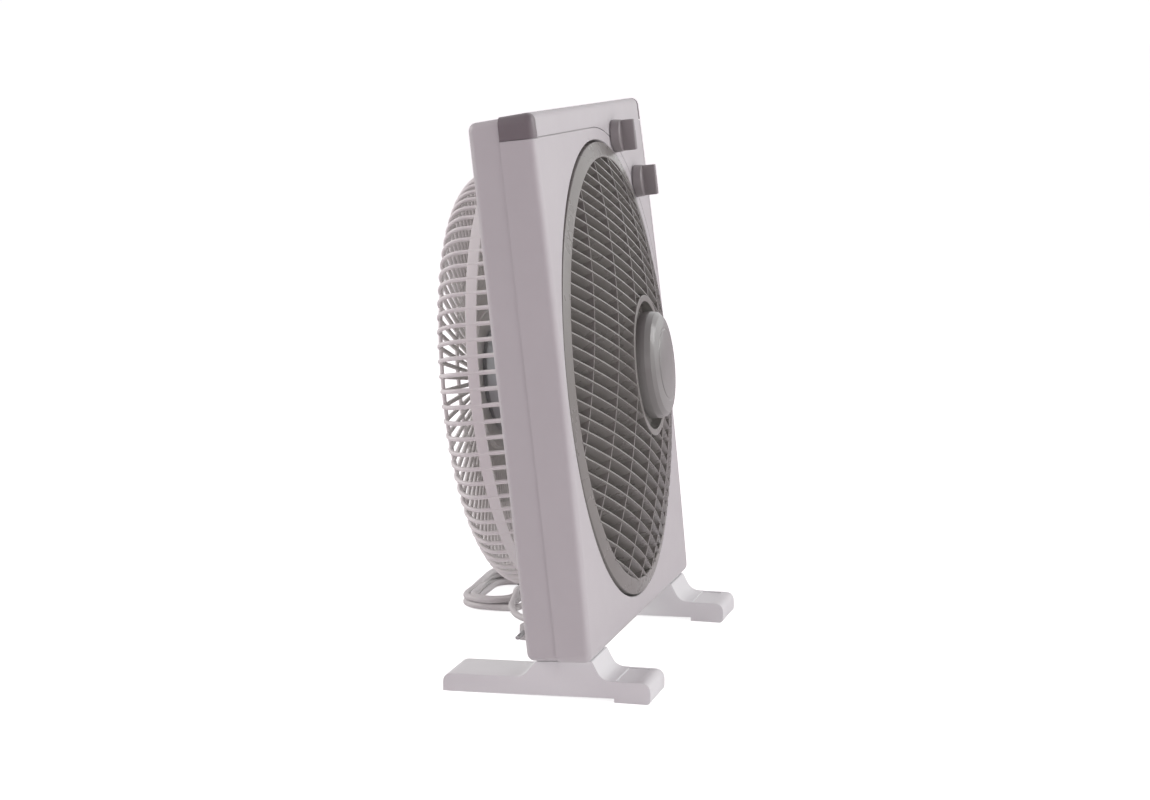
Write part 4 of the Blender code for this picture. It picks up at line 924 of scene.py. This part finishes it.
leave_y, leave_z = in_room(relief_end + gap, relief_at[1])
drop = [(0.1150, leave_y - corner.y, leave_z), (0.1150, 0.0870, 0.0622),
        (0.1149, 0.0945, 0.0590), (0.1146, 0.1008, 0.0535), (0.1141, 0.1050, 0.0464),
        (0.1134, 0.1075, 0.0386), (0.1126, 0.1092, 0.0306), (0.1116, 0.1112, 0.0228),
        (0.1104, 0.1148, 0.0156), (0.1093, 0.1202, 0.0097), (0.1082, 0.1268, 0.0058),
        (0.1075, 0.1330, 0.0043), (0.10725, 0.1385, 0.00405)]
wound = turn_points(OUT_LOW, (OUT_LOW, OUT_LOW), OUT_LOW, (OUT_LOW, IN_LOW))
wound += turn_points(IN_LOW, (IN_LOW, IN_LOW), IN_LOW, (IN_LOW, IN_HIGH))
wound += turn_points(IN_HIGH, (IN_HIGH, OUT_HIGH), OUT_HIGH, (OUT_HIGH, OUT_HIGH))
wound += turn_points(OUT_HIGH, (OUT_HIGH, TOP), TOP, (TOP, TOP))[:-3]
lead = [(0.1180, 0.1328, 0.0136), (0.1070, 0.13215, 0.0101), (0.0990, 0.1313, 0.0092),
        (0.0915, 0.1287, 0.0070), (0.0850, 0.1246, 0.0048), (0.0795, 0.1190, 0.0034),
        (0.0752, 0.1124, 0.0030), (0.0720, 0.1052, 0.0030), (0.0680, 0.0984, 0.0032),
        (0.0620, 0.0932, 0.0040), (0.0548, 0.0902, 0.0054), (0.0480, 0.0892, 0.0064),
        (0.0428, 0.0890, 0.0066)]
route = [Vector((x, corner.y + y, z)) for x, y, z in drop + wound + lead]
print("cord points", len(route))

# %% The cord and its pieces
curve = bpy.data.curves.new("mains_cord", "CURVE")
curve.dimensions = "3D"
curve.bevel_depth = cord_d / 2
curve.bevel_resolution = 4
curve.resolution_u = 6
curve.use_fill_caps = True
spline = curve.splines.new("BEZIER")
spline.bezier_points.add(len(route) - 1)
for point, place in zip(spline.bezier_points, route):
    point.co = place
    point.handle_left_type = point.handle_right_type = "AUTO"
cord = bpy.data.objects.new("mains_cord", curve)
bpy.context.scene.collection.objects.link(cord)
curve.materials.append(pvc)
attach(cord, "casing")
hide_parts("power_cord", "plug_lead", "cord_hank")

plug_x, plug_y = 0.0425, corner.y + 0.0890
face_x = plug_x - 0.0350
outline = [(plug_x, -0.0042), (plug_x, 0.0042), (plug_x - 0.0170, 0.0075),
           (face_x + 0.0060, 0.0130), (face_x, 0.0130), (face_x, -0.0130),
           (face_x + 0.0060, -0.0130), (plug_x - 0.0170, -0.0075)]
plug = bmesh.new()
face = plug.faces.new([plug.verts.new((x, plug_y + y, 0.0002)) for x, y in rounded(
    outline, [0.001, 0.001, 0.006, 0.005, 0.001, 0.001, 0.005, 0.006], 5)])
grown = bmesh.ops.extrude_face_region(plug, geom=[face])
bmesh.ops.translate(plug, vec=(0.0, 0.0, 0.0128),
                    verts=[v for v in grown["geom"] if isinstance(v, bmesh.types.BMVert)])
flat_edges = [e for e in plug.edges if abs(e.verts[0].co.z - e.verts[1].co.z) < 1e-6]
bmesh.ops.bevel(plug, geom=flat_edges, offset=0.0022, segments=5, profile=0.5, affect="EDGES",
                clamp_overlap=True, material=-1)
plug_piece = piece("plug_body", plug, pvc, stands_for=["plug"], place=upright)

tie_y = corner.y + hank_y - 0.0255
tie = carved(box((hank_x - 0.0025, tie_y - 0.0014, 0.0001), (hank_x + 0.0025, tie_y + 0.0130,
                                                            0.0186), 0.0010),
             ("DIFFERENCE", box((hank_x - 0.01, tie_y - 0.0004, 0.0010),
                                (hank_x + 0.01, tie_y + 0.0120, 0.0176), 0.0006)))
tie_piece = piece("hank_tie", tie, black, stands_for=["cord_tie"], place=upright)

# %% [markdown]
# ## Everything else
# Screws, shafts, bushes and the parts behind the panel have their right shape already. Each gets a
# merged copy with smooth shading and its own finish, riding on the body that it belongs to.


# %% Carried pieces
def carried(node, finish):
    """A merged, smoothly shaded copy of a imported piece."""
    source = frame["nodes"][node]
    bm = bmesh.new()
    bm.from_mesh(source.data)
    bmesh.ops.remove_doubles(bm, verts=bm.verts, dist=0.000005)
    return piece(node + "_piece", bm, finish, body=source["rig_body"], stands_for=[node],
                 place=upright, mend=False)


finishes = {
    steel: ["motor_shaft", "louvre_motor", "roller_spindle", "louvre_screw", "timer",
            "speed_switch_spindle", "timer_spindle"],
    sheets: ["motor_rotor"],
    bronze: ["bush_front", "bush_rear"],
    zinc: ["run_capacitor"],
    black: ["speed_switch", "louvre_roller"],
    rubber: ["roller_tyre"],
    louvre_grey: ["louvre_spider", "cap_carrier"],
}
finishes[steel] += [f"shell_screw_{k}" for k in range(1, 5)]
finishes[steel] += [f"grille_screw_{k}" for k in range(1, 5)]
finishes[steel] += [f"motor_screw_{k}" for k in (1, 2)]
finishes[steel] += [f"foot_screw_{side}_{k}" for side in ("left", "right") for k in (1, 2)]
for finish, nodes in finishes.items():
    for node in nodes:
        carried(node, finish)
pins = [carried(f"plug_pin_{k}", steel) for k in (1, 2)]

# %% [markdown]
# ## Studio
# A pale floor, a bright background and four soft lamps: a key from the front right, one from behind
# that lights the cage, a weak one at the side and a small low one for the feet and the lower
# front. The side stays in slightly mauve shade. Floor and sky look white to the camera, and shine
# less on the fan, so that the white casing still stands out from them.

# %% Floor, background and lights
floor_bm = bmesh.new()
bmesh.ops.create_grid(floor_bm, x_segments=1, y_segments=1, size=400.0)
floor_mesh = bpy.data.meshes.new("studio_floor")
floor_bm.to_mesh(floor_mesh)
floor_bm.free()
floor = bpy.data.objects.new("studio_floor", floor_mesh)
bpy.context.scene.collection.objects.link(floor)
paper, tree, shader, point = start("pale_paper")
wire_up(tree, shader, Base_Color=tint(tree, noise(tree, point, 3.0), (0.93, 0.93, 0.93),
                                      (0.96, 0.96, 0.96)), Roughness=0.85)
seen = make(tree, "ShaderNodeLightPath", output="Is Camera Ray")
wire_up(tree, shader, Emission_Color=tint(tree, seen, (0.05, 0.045, 0.048), (0.78, 0.78, 0.78)),
        Emission_Strength=1.0)
floor_mesh.materials.append(paper)

world = bpy.data.worlds.new("studio")
world.use_nodes = True
bpy.context.scene.world = world
tree = world.node_tree
background = tree.nodes["Background"]
shade = make(tree, "ShaderNodeLightPath", output="Is Diffuse Ray")
sky_seen, sky_on_fan = (1.02, 1.02, 1.02), (0.215, 0.158, 0.190)
sky = tint(tree, shade, sky_seen, sky_on_fan)
tree.links.new(sky.socket, background.inputs["Color"])


def lamp(name, place, aim, size, power, color):
    """A large soft light at a place, turned to face a point."""
    light = bpy.data.lights.new(name, "AREA")
    light.shape = "SQUARE"
    light.size = size
    light.energy = power
    light.color = color
    obj = bpy.data.objects.new(name, light)
    obj.location = place
    obj.rotation_euler = (Vector(aim) - Vector(place)).to_track_quat("-Z", "Y").to_euler()
    obj.visible_camera = False
    bpy.context.scene.collection.objects.link(obj)


lamp("key", (1.3, -2.6, 1.6), (0.0, 0.0, 0.2), 1.6, 34.0, (1.0, 1.0, 1.0))
lamp("rear", (-0.5, 2.8, 1.8), (0.0, 0.0, 0.2), 1.6, 42.0, (1.0, 0.99, 0.97))
lamp("side", (-2.8, -0.4, 0.8), (0.0, 0.0, 0.2), 1.6, 2.6, (1.0, 0.80, 0.90))
lamp("low", (-0.60, -1.0, 0.14), (0.0, 0.0, 0.02), 0.6, 3.6, (1.0, 0.98, 0.98))
scene = bpy.context.scene
scene.view_settings.view_transform = "Standard"
scene.view_settings.look = "None"
print("lights set")
